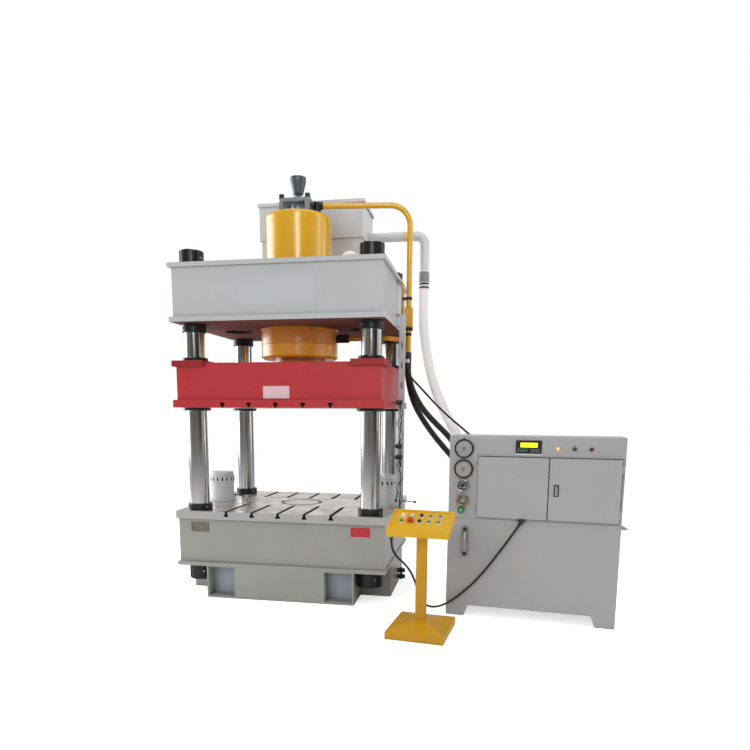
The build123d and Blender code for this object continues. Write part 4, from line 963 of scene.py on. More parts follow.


# One grey paint, lighter on the crown and darker on table edge, beam and oil unit as painted light and shade
GREY = MachinePaint("light_grey_enamel", "#BABCBE", "#B2B5B8", "#CFD0D0")
# Darker red-brown on the crown's underside paints its shade and the red slide's reflection
UNDERSIDE_SHADE_AND_RED_REFLECTION = MachinePaint("painted_shade_and_red_reflection_underside", "#7E4B3D", "#673B30", "#8C665A", gloss=0.8, dust=0.0, shine=0.0)
# Dark colour inside the crown, seen through its holes, paints the shade in there
CROWN_INSIDE_SHADE = MachinePaint("crown_inside_painted_shade", "#4A3A34", "#3E302B", "#5A463F", gloss=0.6, dust=0.0)
# Darker copy of the grey on the table edge, as painted shade
TABLE_EDGE_SHADED_GREY = MachinePaint("table_edge_grey_with_painted_shade", "#AFAEAA", "#A5A4A1", "#C8C7C2")
# Lighter copy of the grey on the filling tank, its pipes and the limit rail, as painted light
LIT_PALE_GREY = MachinePaint("pale_grey_with_painted_light", "#D2D4D7", "#C8CACD", "#DCDCDC", gloss=0.32)
# Darker copy of the grey on the foot, beam and ejector cylinder, as painted shade
BEAM_SHADED_GREY = MachinePaint("warm_grey_with_painted_shade", "#A1A19B", "#969691", "#C4C4BE")
# Lighter copy of the grey on the stop blocks, as painted light
STOP_LIT_GREY = MachinePaint("stop_block_grey_with_painted_light", "#DADDE1", "#D0D3D7", "#E4E6E8", dust=0.05, grime=0.25)
POCKET_GREY = MachinePaint("blue_grey_enamel", "#A4ABB8", "#989FAC", "#B6BCC8", dust=0.05, grime=0.12)
# Darker copy of the grey on the oil unit, as painted shade
UNIT_SHADED_GREY = MachinePaint("sheet_grey_with_painted_shade", "#AEAEAF", "#A4A4A6", "#C6C6C6", gloss=0.38, grime=0.35)
RED = MachinePaint(
    "signal_red_enamel", "#BA2B32", "#AD262C", "#C9555A", "#4A1214", gloss=0.42, dust=0.08, shine=0.05,
)
DARK_RED = MachinePaint(
    "signal_red_pad_enamel", "#9C151C", "#901118", "#B84A50", "#4A1214", gloss=0.55, dust=0.08, shine=0.0,
)
YELLOW = MachinePaint(
    "chrome_yellow_enamel", "#DFAA13", "#D59E0D", "#F0C650", "#7A5412", gloss=0.25, dust=0.0, shine=0.33,
)
# Lighter copy of the cylinder yellow on the gland, as painted light
GLAND_LIT_YELLOW = MachinePaint(
    "gland_yellow_with_painted_light", "#F8AC30", "#EC9E28", "#F6CE6C", "#8A5412", gloss=0.24, dust=0.0, shine=0.35,
)
# Darker orange copy of the cylinder yellow on the flange under the crown, as painted shade
FLANGE_SHADED_YELLOW = MachinePaint(
    "flange_yellow_with_painted_shade", "#E0903A", "#D48430", "#E8B460", "#6A3C10", gloss=0.26, dust=0.0, shine=0.25,
)
# Orange that paints shade on the yellow ring pipe and the gland's yellow reflection on the ram's lower end
SHADE_AND_REFLECTION_ORANGE = MachinePaint("orange_painted_shade_and_reflection", "#D88E22", "#C87E1C", "#E6AE54", "#5A3A10", gloss=0.28)
# Darker copy of the stand yellow on the stem, as painted shade
STEM_SHADED_YELLOW = MachinePaint(
    "stem_yellow_with_painted_shade", "#CE9A07", "#C28E05", "#E6BE3C", "#6A4612", gloss=0.42, dust=0.0, shine=0.0,
)
STAND_YELLOW = MachinePaint(
    "stand_yellow_enamel", "#E3AF06", "#D8A304", "#F0C63C", "#7A5412", gloss=0.4, dust=0.0, shine=0.0,
)
MOTOR_BLUE = MachinePaint("motor_grey_blue_enamel", "#5B6770", "#525E67", "#8C969D", gloss=0.4)
# Table and ejector disc steel: brownish blotches paint reflections as well as stains
TABLE_STEEL = BareSteel("milled_table_steel_with_painted_reflections", "#E0D9D3", "#BFAEA3", rough=0.24)
# Dark oily steel in the slots and round the ejector: oil with painted shade of the recesses and gaps
SHADED_SLOT_STEEL = BareSteel("oily_slot_steel_with_painted_shade", "#3A3632", "#221F1C", rough=0.5, metallic=0.4)
TURNED_STEEL = BareSteel("turned_disc_steel_with_painted_reflections", "#E0D9D3", "#BDAA9F", (260.0, 260.0, 3.0), 0.24, 0.09)
BRIGHT = BareSteel("bright_plated_steel", "#C9CACC", "#9A9B9D", (90.0, 90.0, 90.0), 0.24, 0.03)
ZINC = BareSteel("zinc_plated_sheet", "#C3C5C6", "#9FA2A4", (40.0, 40.0, 40.0), 0.42, 0.05, 0.75)
CHROME = HardChrome("hard_chrome_column")
FORGED = CastMetal("forged_valve_steel", "#8B929B", "#BCC0C6", 0.42, 0.5)
CUP_STEEL = CastMetal("dark_phosphated_cup", "#565B62", "#8E949C", 0.4, 0.4)
BLACK_OXIDE = CastMetal("black_oxide_steel", "#26272A", "#66686C", 0.34, 0.45, 0.0015)
BRASS = CastMetal("turned_brass", "#AE9478", "#CDB79E", 0.28, 1.0, 0.002)
BLACK = Moulded("black_abs")
NAVY = Moulded("dark_blue_terminal_abs", "#161B26", 0.36)
KEY_GREY = Moulded("grey_key_caps", "#6E7278", 0.5)
KEY_GREEN = Moulded("green_key_caps", "#4F8A72", 0.5)
RED_CAP = Moulded("red_button_polycarbonate", "#C8281E", 0.3)
GREEN_CAP = Moulded("green_button_polycarbonate", "#3F8D69", 0.3)
GREEN_KNOB = Moulded("green_knob_nylon", "#1C7F34", 0.34)
PALE_GREEN = Moulded("pale_green_knob_disc", "#9CC9A4", 0.34)
WHITE_CAP = Moulded("white_button_polycarbonate", "#E4E2DA", 0.32)
PALE_LENS = Moulded("pale_lamp_lens", "#F2E6B8", 0.22, 0.15)
DARK_GREEN_LENS = Moulded("unlit_green_lens", "#14452F", 0.16)
DARK_RED_LENS = Moulded("unlit_red_lens", "#6E1220", 0.16)
SCREEN = Moulded("lit_yellow_screen", "#F4F312", 0.3, 0.9)
DIAL = Moulded("dial_enamel", "#8B8583", 0.45)
GAUGE_STEEL = BareSteel("brushed_gauge_steel", "#8E9094", "#66686C", (90.0, 90.0, 90.0), 0.3, 0.03)
# Gauge rims: chrome given a dark colour that paints its dark reflections
RIM_CHROME_DARK_REFLECTION = BareSteel("chrome_rim_painted_dark_reflection", "#45484C", "#2C2E32", (90.0, 90.0, 90.0), 0.18, 0.03)
INK = Moulded("printing_ink", "#26262A", 0.5)
DARK_RED_CAP = Moulded("dark_red_needle_cap", "#6A161C", 0.3)
RED_INK = Moulded("red_needle_lacquer", "#C03030", 0.35)
WHITE_INK = Moulded("white_label_film", "#DCDCDA", 0.45)
PINK_LABEL = Moulded("pale_name_plate_film", "#D9B9C0", 0.4)
CROWN_LABEL = Moulded("blank_sign_film", "#B8BBBE", 0.5)
RED_LABEL = Moulded("red_plate_lacquer", "#C22433", 0.4)
PLATE_METAL = BareSteel("etched_aluminium_plate", "#958E82", "#7E776B", (60.0, 60.0, 60.0), 0.45, 0.03)
RUBBER = HoseRubber("nitrile_hose_cover")
JACKET = HoseRubber("cable_jacket_pvc", "#0C0C0D", "#1F1F21", 0.0025)
PALE_YELLOW = Moulded("pale_yellow_tape", "#D9C27A", 0.45)
SLEEVE_GREY = Moulded("grey_rubber_sleeve", "#84868C", 0.5)
PVC = MilkyHose("milky_pvc_hose")
PVC_RIB = MilkyHose("rigid_pvc_helix", "#F0EEEE", "#E0DDDE")
OIL = Moulded("clear_oil", "#8E7E6C", 0.2)
GLASS = ClearGlass("clear_acrylic")


@dataclass(frozen=True)
class Lamp:
    """A soft rectangular lamp in metres and watts, and the kinds of surface it lights."""

    name: str
    spot: Point
    target: Point
    size: tuple[float, float]
    power: float
    on_matt: bool = True
    on_gloss: bool = True

    def hang(self) -> None:
        """Hang the lamp at its spot, unseen by the camera."""
        data = bpy.data.lights.new(self.name, "AREA")
        data.shape = "RECTANGLE"
        data.size, data.size_y = self.size
        data.energy = self.power
        lamp = linked(self.name, data)
        lamp.location = self.spot
        lamp.rotation_mode = "QUATERNION"
        lamp.rotation_quaternion = (Vector(self.target) - Vector(self.spot)).to_track_quat("-Z", "Y")
        lamp.visible_camera = False
        lamp.visible_diffuse = self.on_matt
        lamp.visible_glossy = self.on_gloss


@dataclass
class Studio:
    """The photograph's camera, a pale floor, a white surround and soft lamps, in metres and degrees."""

    eye: Point = (1.4518, -4.9696, 1.3998)
    yaw: float = -10.58
    pitch: float = -9.044
    roll: float = 0.2703
    focus: float = 628.6
    principal: tuple[float, float] = (363.8, 511.9)
    floor_radius: float = 14.0
    floor_drop: float = 0.0005
    floor_lift: float = 0.64
    ambient: float = 0.43

    # Round the hall from the back over the left, the front and the right: light walls, windows, dark bays
    hall: tuple[tuple[float, str], ...] = (
        (0.0, "#E9E9E9"), (1.0, "#E9E9E9"), (0.06, "#E4E4E4"), (0.10, "#4B4743"), (0.17, "#8C8A88"),
        (0.23, "#E8EAEC"), (0.31, "#C8CACC"), (0.36, "#6A665C"), (0.42, "#8A867A"), (0.47, "#4A463F"),
        (0.52, "#7C786E"), (0.58, "#5E5A52"), (0.63, "#2E2B27"), (0.70, "#3A3733"), (0.735, "#F4F4F4"),
        (0.80, "#C6C8CA"), (0.86, "#6E6C6A"), (0.91, "#45423E"), (0.95, "#DCDCDC"),
    )
    # The two skylights only show as streaks on gloss
    lamps: tuple[Lamp, ...] = (
        Lamp("key_lamp", (-2.4, -7.0, 3.9), (0.4, 0, 1.3), (4.0, 4.0), 174.0, on_gloss=False),
        Lamp("fill_lamp", (7.6, -2.0, 3.2), (0.6, 0, 1.5), (3.2, 4.0), 190.0, on_gloss=False),
        Lamp("top_lamp", (0.4, -0.6, 7.5), (0.4, -0.2, 1.0), (5.0, 5.0), 115.0),
        Lamp("left_window", (-5.9, 1.4, 2.9), (0, 0, 2.0), (5.0, 4.4), 380.0),
        Lamp("right_window", (5.6, 2.6, 2.9), (0, 0, 2.0), (1.0, 4.4), 40.0),
        Lamp("front_skylight", (1.5, -7.3, 4.9), (0, 0, 2.6), (1.4, 3.4), 190.0, on_matt=False),
        Lamp("right_skylight", (7.4, 0.2, 4.9), (0, 0, 2.6), (0.9, 3.4), 42.0, on_matt=False),
    )

    def build(self) -> None:
        """Set up camera, floor, surround and lamps."""
        self.place_camera()
        self.lay_floor()
        self.paint_surround()
        for lamp in self.lamps:
            lamp.hang()
        bpy.context.scene.view_settings.view_transform = "Standard"

    def place_camera(self) -> None:
        """Place the camera where the photograph was taken, with its shift."""
        yaw, pitch, roll = radians(self.yaw), radians(self.pitch), radians(self.roll)
        ahead = Vector((sin(yaw) * cos(pitch), cos(yaw) * cos(pitch), sin(pitch)))
        right = Vector((cos(yaw), -sin(yaw), 0))
        up = right.cross(ahead)
        across, upward = right * cos(roll) + up * sin(roll), up * cos(roll) - right * sin(roll)
        data = bpy.data.cameras.new("photo_camera")
        data.lens = self.focus * data.sensor_width / PHOTO_SIZE
        data.shift_x = 0.5 - self.principal[0] / PHOTO_SIZE
        data.shift_y = self.principal[1] / PHOTO_SIZE - 0.5
        camera = linked("photo_camera", data)
        camera.matrix_world = Matrix((across, upward, -ahead)).transposed().to_4x4()
        camera.location = self.eye
        bpy.context.scene.camera = camera

    def lay_floor(self) -> None:
        """Lay a round pale floor that keeps the object's shadow."""
        part = bmesh.new()
        bmesh.ops.create_circle(part, cap_ends=True, segments=96, radius=self.floor_radius)
        bmesh.ops.translate(part, vec=(0, 0, -self.floor_drop), verts=part.verts)
        data = bpy.data.meshes.new("floor")
        part.to_mesh(data)
        part.free()
        pale = bpy.data.materials.new("pale_floor")
        pale.use_nodes = True
        graph = Graph(pale.node_tree, "ShaderNodeOutputMaterial")
        matt = graph.add("BsdfDiffuse", {"Color": linear("#F2F2F1")})
        seen = graph.add("LightPath", out="Is Camera Ray")
        lift = graph.add("Math", {0: seen, 1: self.floor_lift}, operation="MULTIPLY")
        glow = graph.add("Emission", {"Strength": lift})
        graph.close(graph.add("AddShader", {0: matt, 1: glow}))
        data.materials.append(pale)
        floor = linked("floor", data)

    def paint_surround(self) -> None:
        """Paint the surround: white to the eye, plain to matt surfaces, a banded hall to bright metal."""
        world = bpy.data.worlds.new("surround")
        world.use_nodes = True
        bpy.context.scene.world = world
        graph = Graph(world.node_tree, "ShaderNodeOutputWorld")
        way = graph.add("TexCoord", out="Generated")
        south = graph.add("Math", {0: graph.axis(way, "Y"), 1: -1.0}, operation="MULTIPLY")
        round_way = graph.add("Math", {0: graph.axis(way, "X"), 1: south}, operation="ARCTAN2")
        share = graph.add("MapRange", {"Value": round_way, 1: -pi, 2: pi})
        hall = graph.add("ValToRGB", {0: share}, stops=self.hall)
        shiny, camera, through = (
            graph.add("LightPath", out=f"Is {kind} Ray") for kind in ("Glossy", "Camera", "Transmission")
        )
        clear = graph.add("Math", {0: camera, 1: through}, operation="MAXIMUM")
        bright = graph.add("Math", {0: clear, 1: shiny}, operation="MAXIMUM")
        strength = graph.add("MapRange", {"Value": bright, 3: self.ambient, 4: 1.0})
        tone = graph.tint(shiny, "#FFFFFF", hall)
        graph.close(graph.add("Background", {"Color": tone, "Strength": strength}))


@dataclass(frozen=True)
class Run:
    """One hose or cable: its CAD node, route in millimetres, thickness and real length in metres."""

    node: str
    diameter: float
    length: float
    finish: Finish
    slot: str
    lay: str
    stiffness: str
    route: tuple[Point, ...]

    @property
    def ends(self) -> list[tuple[Vector, Vector]]:
        """Both end points, each with the way into the run."""
        pairs = ((self.route[0], self.route[1]), (self.route[-1], self.route[-2]))
        return [(Vector(end), (Vector(nearby) - Vector(end)).normalized()) for end, nearby in pairs]


@dataclass
class Hoses:
    """Hoses and cables between the press, the stand and the oil unit."""

    runs: tuple[Run, ...] = (
        Run("filling_hose", 76.0, 1.955, PVC, "clear_hose", "hanging", "stiff", (
            (923, 600, 2500), (923, 600, 2360), (920, 598, 2160), (950, 560, 1940), (1010, 490, 1690),
            (1078, 400, 1520), (1158, 310, 1365), (1243, 222, 1228), (1322, 158, 1112), (1380, 118, 992),
            (1402.1, 100.1, 868), (1402.1, 100.1, 745),
        )),
        Run("front_pressure_hose", 44.0, 1.375, RUBBER, "hose_rubber", "hanging", "stiff", (
            (855, 100, 1815), (855, 100, 1735), (868, 99, 1650), (907, 90, 1545), (975, 70, 1430),
            (1075, 28, 1325), (1202, -40, 1213), (1290, -84, 1095), (1372, -125, 975), (1450, -155, 885),
            (1543.65, -176.41, 845), (1653.02, -188.038, 845),
        )),
        Run("rear_pressure_hose", 44.0, 1.473, RUBBER, "hose_rubber", "hanging", "stiff", (
            (838, 190, 1815), (838, 190, 1735), (848, 190, 1655), (868, 187, 1560), (905, 177, 1455),
            (975, 150, 1340), (1075, 105, 1210), (1195, 40, 1082), (1292, -18, 985), (1372, -76, 885),
            (1455, -112, 818), (1547.88, -136.63, 790), (1657.25, -148.262, 790),
        )),
        Run("signal_cable", 15.0, 1.070, JACKET, "cable_jacket", "hanging", "medium", (
            (875, -100, 1770), (875, -100, 1718), (898, -98, 1665), (948, -100, 1612), (1010, -105, 1550),
            (1080, -115, 1475), (1155, -130, 1405), (1230, -150, 1340), (1300, -172, 1285),
            (1362, -190, 1232), (1420, -205, 1175), (1472, -232, 1136), (1514, -280, 1121),
            (1527.25, -330.54, 1118), (1521.966, -380.255, 1118),
        )),
        Run("console_cable", 14.0, 1.665, JACKET, "cable_jacket", "hanging", "medium", (
            (918, -1175, 634), (918, -1175, 588), (926, -1150, 540), (946, -1095, 486), (980, -1015, 432),
            (1012, -940, 366), (1036, -880, 288), (1052, -832, 215), (1066, -796, 150), (1086, -770, 102),
            (1116, -746, 70), (1156, -725, 58), (1198, -709, 63), (1238, -702, 80), (1275, -703, 103),
            (1322, -708, 143), (1416, -718, 234), (1507, -728, 349), (1596, -737, 481), (1666, -744.5, 590),
            (1718, -750.06, 674),
        )),
        Run("sensor_lead", 6.0, 0.816, JACKET, "cable_jacket", "loose", "limp", (
            (826, -132, 1453), (826, -132, 1418), (832, -148, 1385), (846, -168, 1340), (838, -176, 1285),
            (832, -176, 1215), (835, -176, 1130), (838, -177, 1045), (834, -176, 965), (845, -174, 905),
            (834, -171, 850), (846, -168, 795), (836, -158, 742), (833, -140, 705), (833, -132, 680),
            (833, -132, 655),
        )),
    )
    rib_pitch: float = 17.0
    rib_radius: float = 1.9
    rib_sink: float = 0.4
    rib_steps: int = 14
    thinnest_hose: float = 40.0

    def build(self) -> None:
        """Draw every run and the parts on it."""
        for run in self.runs:
            curve = self.draw(run)
            if run.finish is PVC:
                parts = [self.wind_rib(run, self.centreline(curve)), self.clamp_ends(run)]
            elif run.diameter > self.thinnest_hose:
                parts = [self.crimp_ends(run)]
            else:
                parts = [self.relieve_ends(run)]

    def draw(self, run: Run) -> bpy.types.Object:
        """Draw a run as one smooth spline.

        Args:
            run: The run.

        Returns:
            Its curve object.
        """
        data = bpy.data.curves.new(run.node + "_line", "CURVE")
        data.dimensions = "3D"
        data.resolution_u = 10
        data.bevel_depth = run.diameter / 2 * MM
        data.bevel_resolution = 5
        data.use_fill_caps = True
        spline = data.splines.new("NURBS")
        spline.points.add(len(run.route) - 1)
        for spot, point in zip(spline.points, run.route):
            spot.co = (*(c * MM for c in point), 1)
        spline.order_u = 3
        spline.use_endpoint_u = True
        data.materials.append(run.finish.material())
        made = linked(run.node + "_line", data)
        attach(made, "frame")
        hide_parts(run.node)
        LOG.info("%s: %.3f m", run.node, run.length)
        return made

    def centreline(self, curve: bpy.types.Object) -> list[Vector]:
        """Read the centreline of a run.

        Args:
            curve: The run's curve object.

        Returns:
            Its points in millimetres.
        """
        bare = curve.data.copy()
        bare.bevel_depth = 0
        bare.use_fill_caps = False
        part = meshed(bare)
        points = [v.co / MM for v in part.verts]
        part.free()
        return points

    def wind_rib(self, run: Run, line: list[Vector]) -> bpy.types.Object:
        """Wind the rigid helix round the suction hose.

        Args:
            run: The hose.
            line: Its centreline.

        Returns:
            The helix piece.
        """
        side, angle, coil = Vector((0, -1, 0)), 0.0, []
        reach = run.diameter / 2 - self.rib_sink
        for here, ahead in zip(line, line[1:]):
            step = ahead - here
            way = step.normalized()
            side = (side - way * side.dot(way)).normalized()
            other = way.cross(side)
            parts = max(1, round(step.length / self.rib_pitch * self.rib_steps))
            for i in range(parts):
                coil.append(here + step * (i / parts) + (side * cos(angle) + other * sin(angle)) * reach)
                angle += step.length / parts / self.rib_pitch * tau
        shape = Shape().swept([tuple(p) for p in coil], self.rib_radius, GROUND, 1)
        return shape.piece("filling_hose_rib", PVC_RIB, run.slot)

    def clamp_ends(self, run: Run) -> bpy.types.Object:
        """Put worm-drive clamps on both ends of the suction hose.

        Args:
            run: The hose.

        Returns:
            The clamps.
        """
        shape = Shape()
        r = run.diameter / 2 + 1.6
        for spot, way in run.ends:
            for shift in (22, 52):
                place = aimed(spot + way * shift, way)
                shape.turned([(r, 0), (r + 2.2, 1), (r + 2.2, 12), (r, 13)], place, 40, True)
                shape.block((14, 18, 13), on(place, 0, -r - 6), 2)
                shape.hex_head(8, 6, on(place, -12, -r - 8, 6.5) @ Matrix.Rotation(radians(-90), 4, "Y"))
        return shape.piece("filling_hose_clamps", BLACK_OXIDE, "black_oxide")

    def crimp_ends(self, run: Run) -> bpy.types.Object:
        """Put ribbed crimp ferrules on both ends of a pressure hose.

        Args:
            run: The hose.

        Returns:
            The ferrules.
        """
        shape = Shape()
        r = run.diameter / 2
        outline = [(r - 4, -2), (r + 2, -2), (r + 5, 2), (r + 5, 14)]
        for z in range(16, 61, 11):
            outline += [(r + 2.4, z), (r + 2.4, z + 4), (r + 4.4, z + 6), (r + 4.4, z + 9)]
        outline += [(r + 3, 74), (r - 1, 76)]
        for spot, way in run.ends:
            shape.turned(outline, aimed(spot, way), 32, True)
        return shape.piece(run.node + "_ferrules", BLACK_OXIDE, "black_oxide")

    def relieve_ends(self, run: Run) -> bpy.types.Object:
        """Put tapered strain reliefs on both ends of a cable.

        Args:
            run: The cable.

        Returns:
            The strain reliefs.
        """
        shape = Shape()
        r = run.diameter / 2
        outline = [(r - 1, -1), (r * 1.75, -1), (r * 1.75, 5), (r * 1.55, 7)]
        for i in range(4):
            z, outer, inner = 9 + 6 * i, r * (1.5 - 0.1 * i), r * (1.3 - 0.1 * i)
            outline += [(outer, z), (outer, z + 3), (inner, z + 3.5), (inner, z + 5.5)]
        outline += [(r * 1.04, 34), (r - 1, 34)]
        for spot, way in run.ends:
            shape.turned(outline, aimed(spot, way), 24, True)
        return shape.piece(run.node + "_reliefs", BLACK, "black_plastic")


@dataclass
class PressFrame:
    """Foot, lower beam, table, columns, nuts and crown of the press."""

    column_x: float = 665.0
    column_y: float = 490.0
    table_top: float = 660.0
    crown_half: tuple[float, float] = (760.0, 625.0)
    crown_top: float = 2435.0
    crown_welds: tuple[float, float] = (2067.0, 2403.0)
    beam_half: tuple[float, float] = (792.0, 600.0)
    beam_welds: tuple[float, float] = (271.0, 598.0)
    slot_pitch: float = 200.0
    slot_lip: float = 12.8
    slot_runs: tuple[tuple[float, float], ...] = ((-628.0, -208.0), (241.0, 628.0))
    # Level, radius and the turn of the locking screw of the nuts on one column
    nuts: tuple[Point, ...] = (
        (2487.0, 87.0, 20.0), (1999.0, 88.0, -130.0), (681.0, 92.0, 35.0), (185.0, 95.0, 60.0),
    )

    def build(self) -> None:
        """Dress the frame's nodes and add its small parts."""
        dress(TwoFinishes("foot_frame_enamels", BEAM_SHADED_GREY, POCKET_GREY, Zone.POCKET_BACK), "foot_frame")
        dress(BEAM_SHADED_GREY, "lower_beam")
        top = TwoFinishes("table_enamel_and_steel", TABLE_EDGE_SHADED_GREY, TABLE_STEEL, Zone.TABLE_STEEL)
        dress(TwoFinishes("table_finishes", top, SHADED_SLOT_STEEL, Zone.TABLE_SLOTS), "table_plate")
        dress(CHROME, "columns")
        dress(TwoFinishes("ram_chrome_and_painted_reflection", CHROME, SHADE_AND_REFLECTION_ORANGE, Zone.RAM_FOOT), "ram")
        dress(BLACK_OXIDE, "column_nuts")
        below = TwoFinishes("crown_enamel_and_painted_underside", GREY, UNDERSIDE_SHADE_AND_RED_REFLECTION, Zone.CROWN_BELOW)
        dress(TwoFinishes("crown_enamels", below, CROWN_INSIDE_SHADE, Zone.CROWN_INSIDE), "crown")
        dress(TURNED_STEEL, "ejector_plunger")
        dress(BEAM_SHADED_GREY, "ejector_cylinder")
        self.lay_grime()
        crown = Shape().beads(*self.crown_half, self.crown_welds, 4.0)
        crown.piece("crown_weld_beads", GREY, "grey_paint", sharp=60)
        beam = Shape().beads(*self.beam_half, self.beam_welds, 4.0)
        beam.piece("beam_weld_beads", BEAM_SHADED_GREY, "beam_paint", sharp=60)
        self.set_nut_screws()
        sign = Shape().blank_plate(on(PRESS_FRONT, 9.5, 2236.5, self.crown_half[1]), 581, 203, False)
        sign.piece("crown_blank_plate", CROWN_LABEL, "grey_paint")
        name = Shape().blank_plate(on(PRESS_FRONT, -622, 535.5, self.beam_half[1]), 146, 75)
        name.piece("beam_blank_plate", PLATE_METAL, "bright_metal")
        red = Shape().blank_plate(on(PRESS_FRONT, 610.5, 541, self.beam_half[1]), 143, 68)
        red.piece("beam_red_plate", RED_LABEL, "red_plastic")
        self.set_crown_parts()

    def lay_grime(self) -> None:
        """Lay dark oily steel, which also paints shade, round the ejector and along both lips of each table
        slot.
        """
        for name, inner, outer, body in (
            ("ejector_groove_soiling_and_shade", 160.8, 167, "frame"), ("ejector_rim_soiling_and_shade", 144, 159.6, "ejector"),
        ):
            grime = Shape().ring(inner, outer, -0.1, 0.35, on(GROUND, 0, 0, self.table_top), 72)
            grime.piece(name, SHADED_SLOT_STEEL, "table_steel", body)
        lips = Shape()
        for i in range(-2, 3):
            for low, high in self.slot_runs:
                for side in (-1, 1):
                    x, y = i * self.slot_pitch + side * self.slot_lip, (low + high) / 2
                    lips.block((5, high - low, 0.4), on(GROUND, x, y, self.table_top - 0.1))
        lips.piece("table_slot_soiling_and_shade", SHADED_SLOT_STEEL, "table_steel")

    def set_nut_screws(self) -> None:
        """Set a locking screw into the side of each column nut."""
        shape = Shape()
        for side, row in CORNERS:
            for level, radius, turn in self.nuts:
                way = Vector((cos(radians(turn)), -abs(sin(radians(turn))), 0))
                foot = Vector((side * self.column_x, row * self.column_y, level)) + way * (radius - 3)
                shape.cap_screw(7, 9, aimed(foot, way))
        shape.piece("nut_locking_screws", BRIGHT, "bright_metal")

    def set_crown_parts(self) -> None:
        """Set a round cap and two eye bolts on the crown and run the drain pipe down its side."""
        dome = Shape().turned([
            (0, 46), (20, 44), (36, 38), (49, 26), (55, 11), (56, 0), (62, 0), (62, -0.2), (0, -0.2),
        ], on(GROUND, 525, -560, self.crown_top), 40)
        dome.piece("crown_breather_cap", WHITE_CAP, "white_plastic")
        eyes = Shape()
        for x, y in ((-330, 300), (330, 170)):
            eyes.turned([
                (0, 0), (30, 0), (30, 8), (20, 14), (12, 20), (12, 30), (0, 30),
            ], on(GROUND, x, y, self.crown_top), 28)
            rim = [(a, 0, b) for a, b in (around(26, turn) for turn in range(0, 360, 15))]
            eyes.swept(rim, 8, on(GROUND, x, y, self.crown_top + 58), 3, True)
        eyes.piece("crown_eye_bolts", BLACK_OXIDE, "black_oxide")
        inner, outer, high, low, y = 755, 803, 2395, 2149, 100
        half = [(inner, 0), (outer - 13, 0), (outer - 4, 4), (outer, 13)]
        bend = [(x, y, high - drop) for x, drop in half] + [(x, y, low + drop) for x, drop in reversed(half)]
        Shape().swept(bend, 8.5, GROUND, 4).piece("crown_drain_pipe", YELLOW, "orange_paint", sharp=50)
        unions = Shape()
        for z in (high, low):
            foot = on(PRESS_RIGHT, y, z, self.crown_half[0])
            unions.turned([(9, 0), (15, 0), (15, 12), (12, 15), (9, 15)], foot, 6, True)
        unions.piece("crown_drain_unions", BRIGHT, "bright_metal")


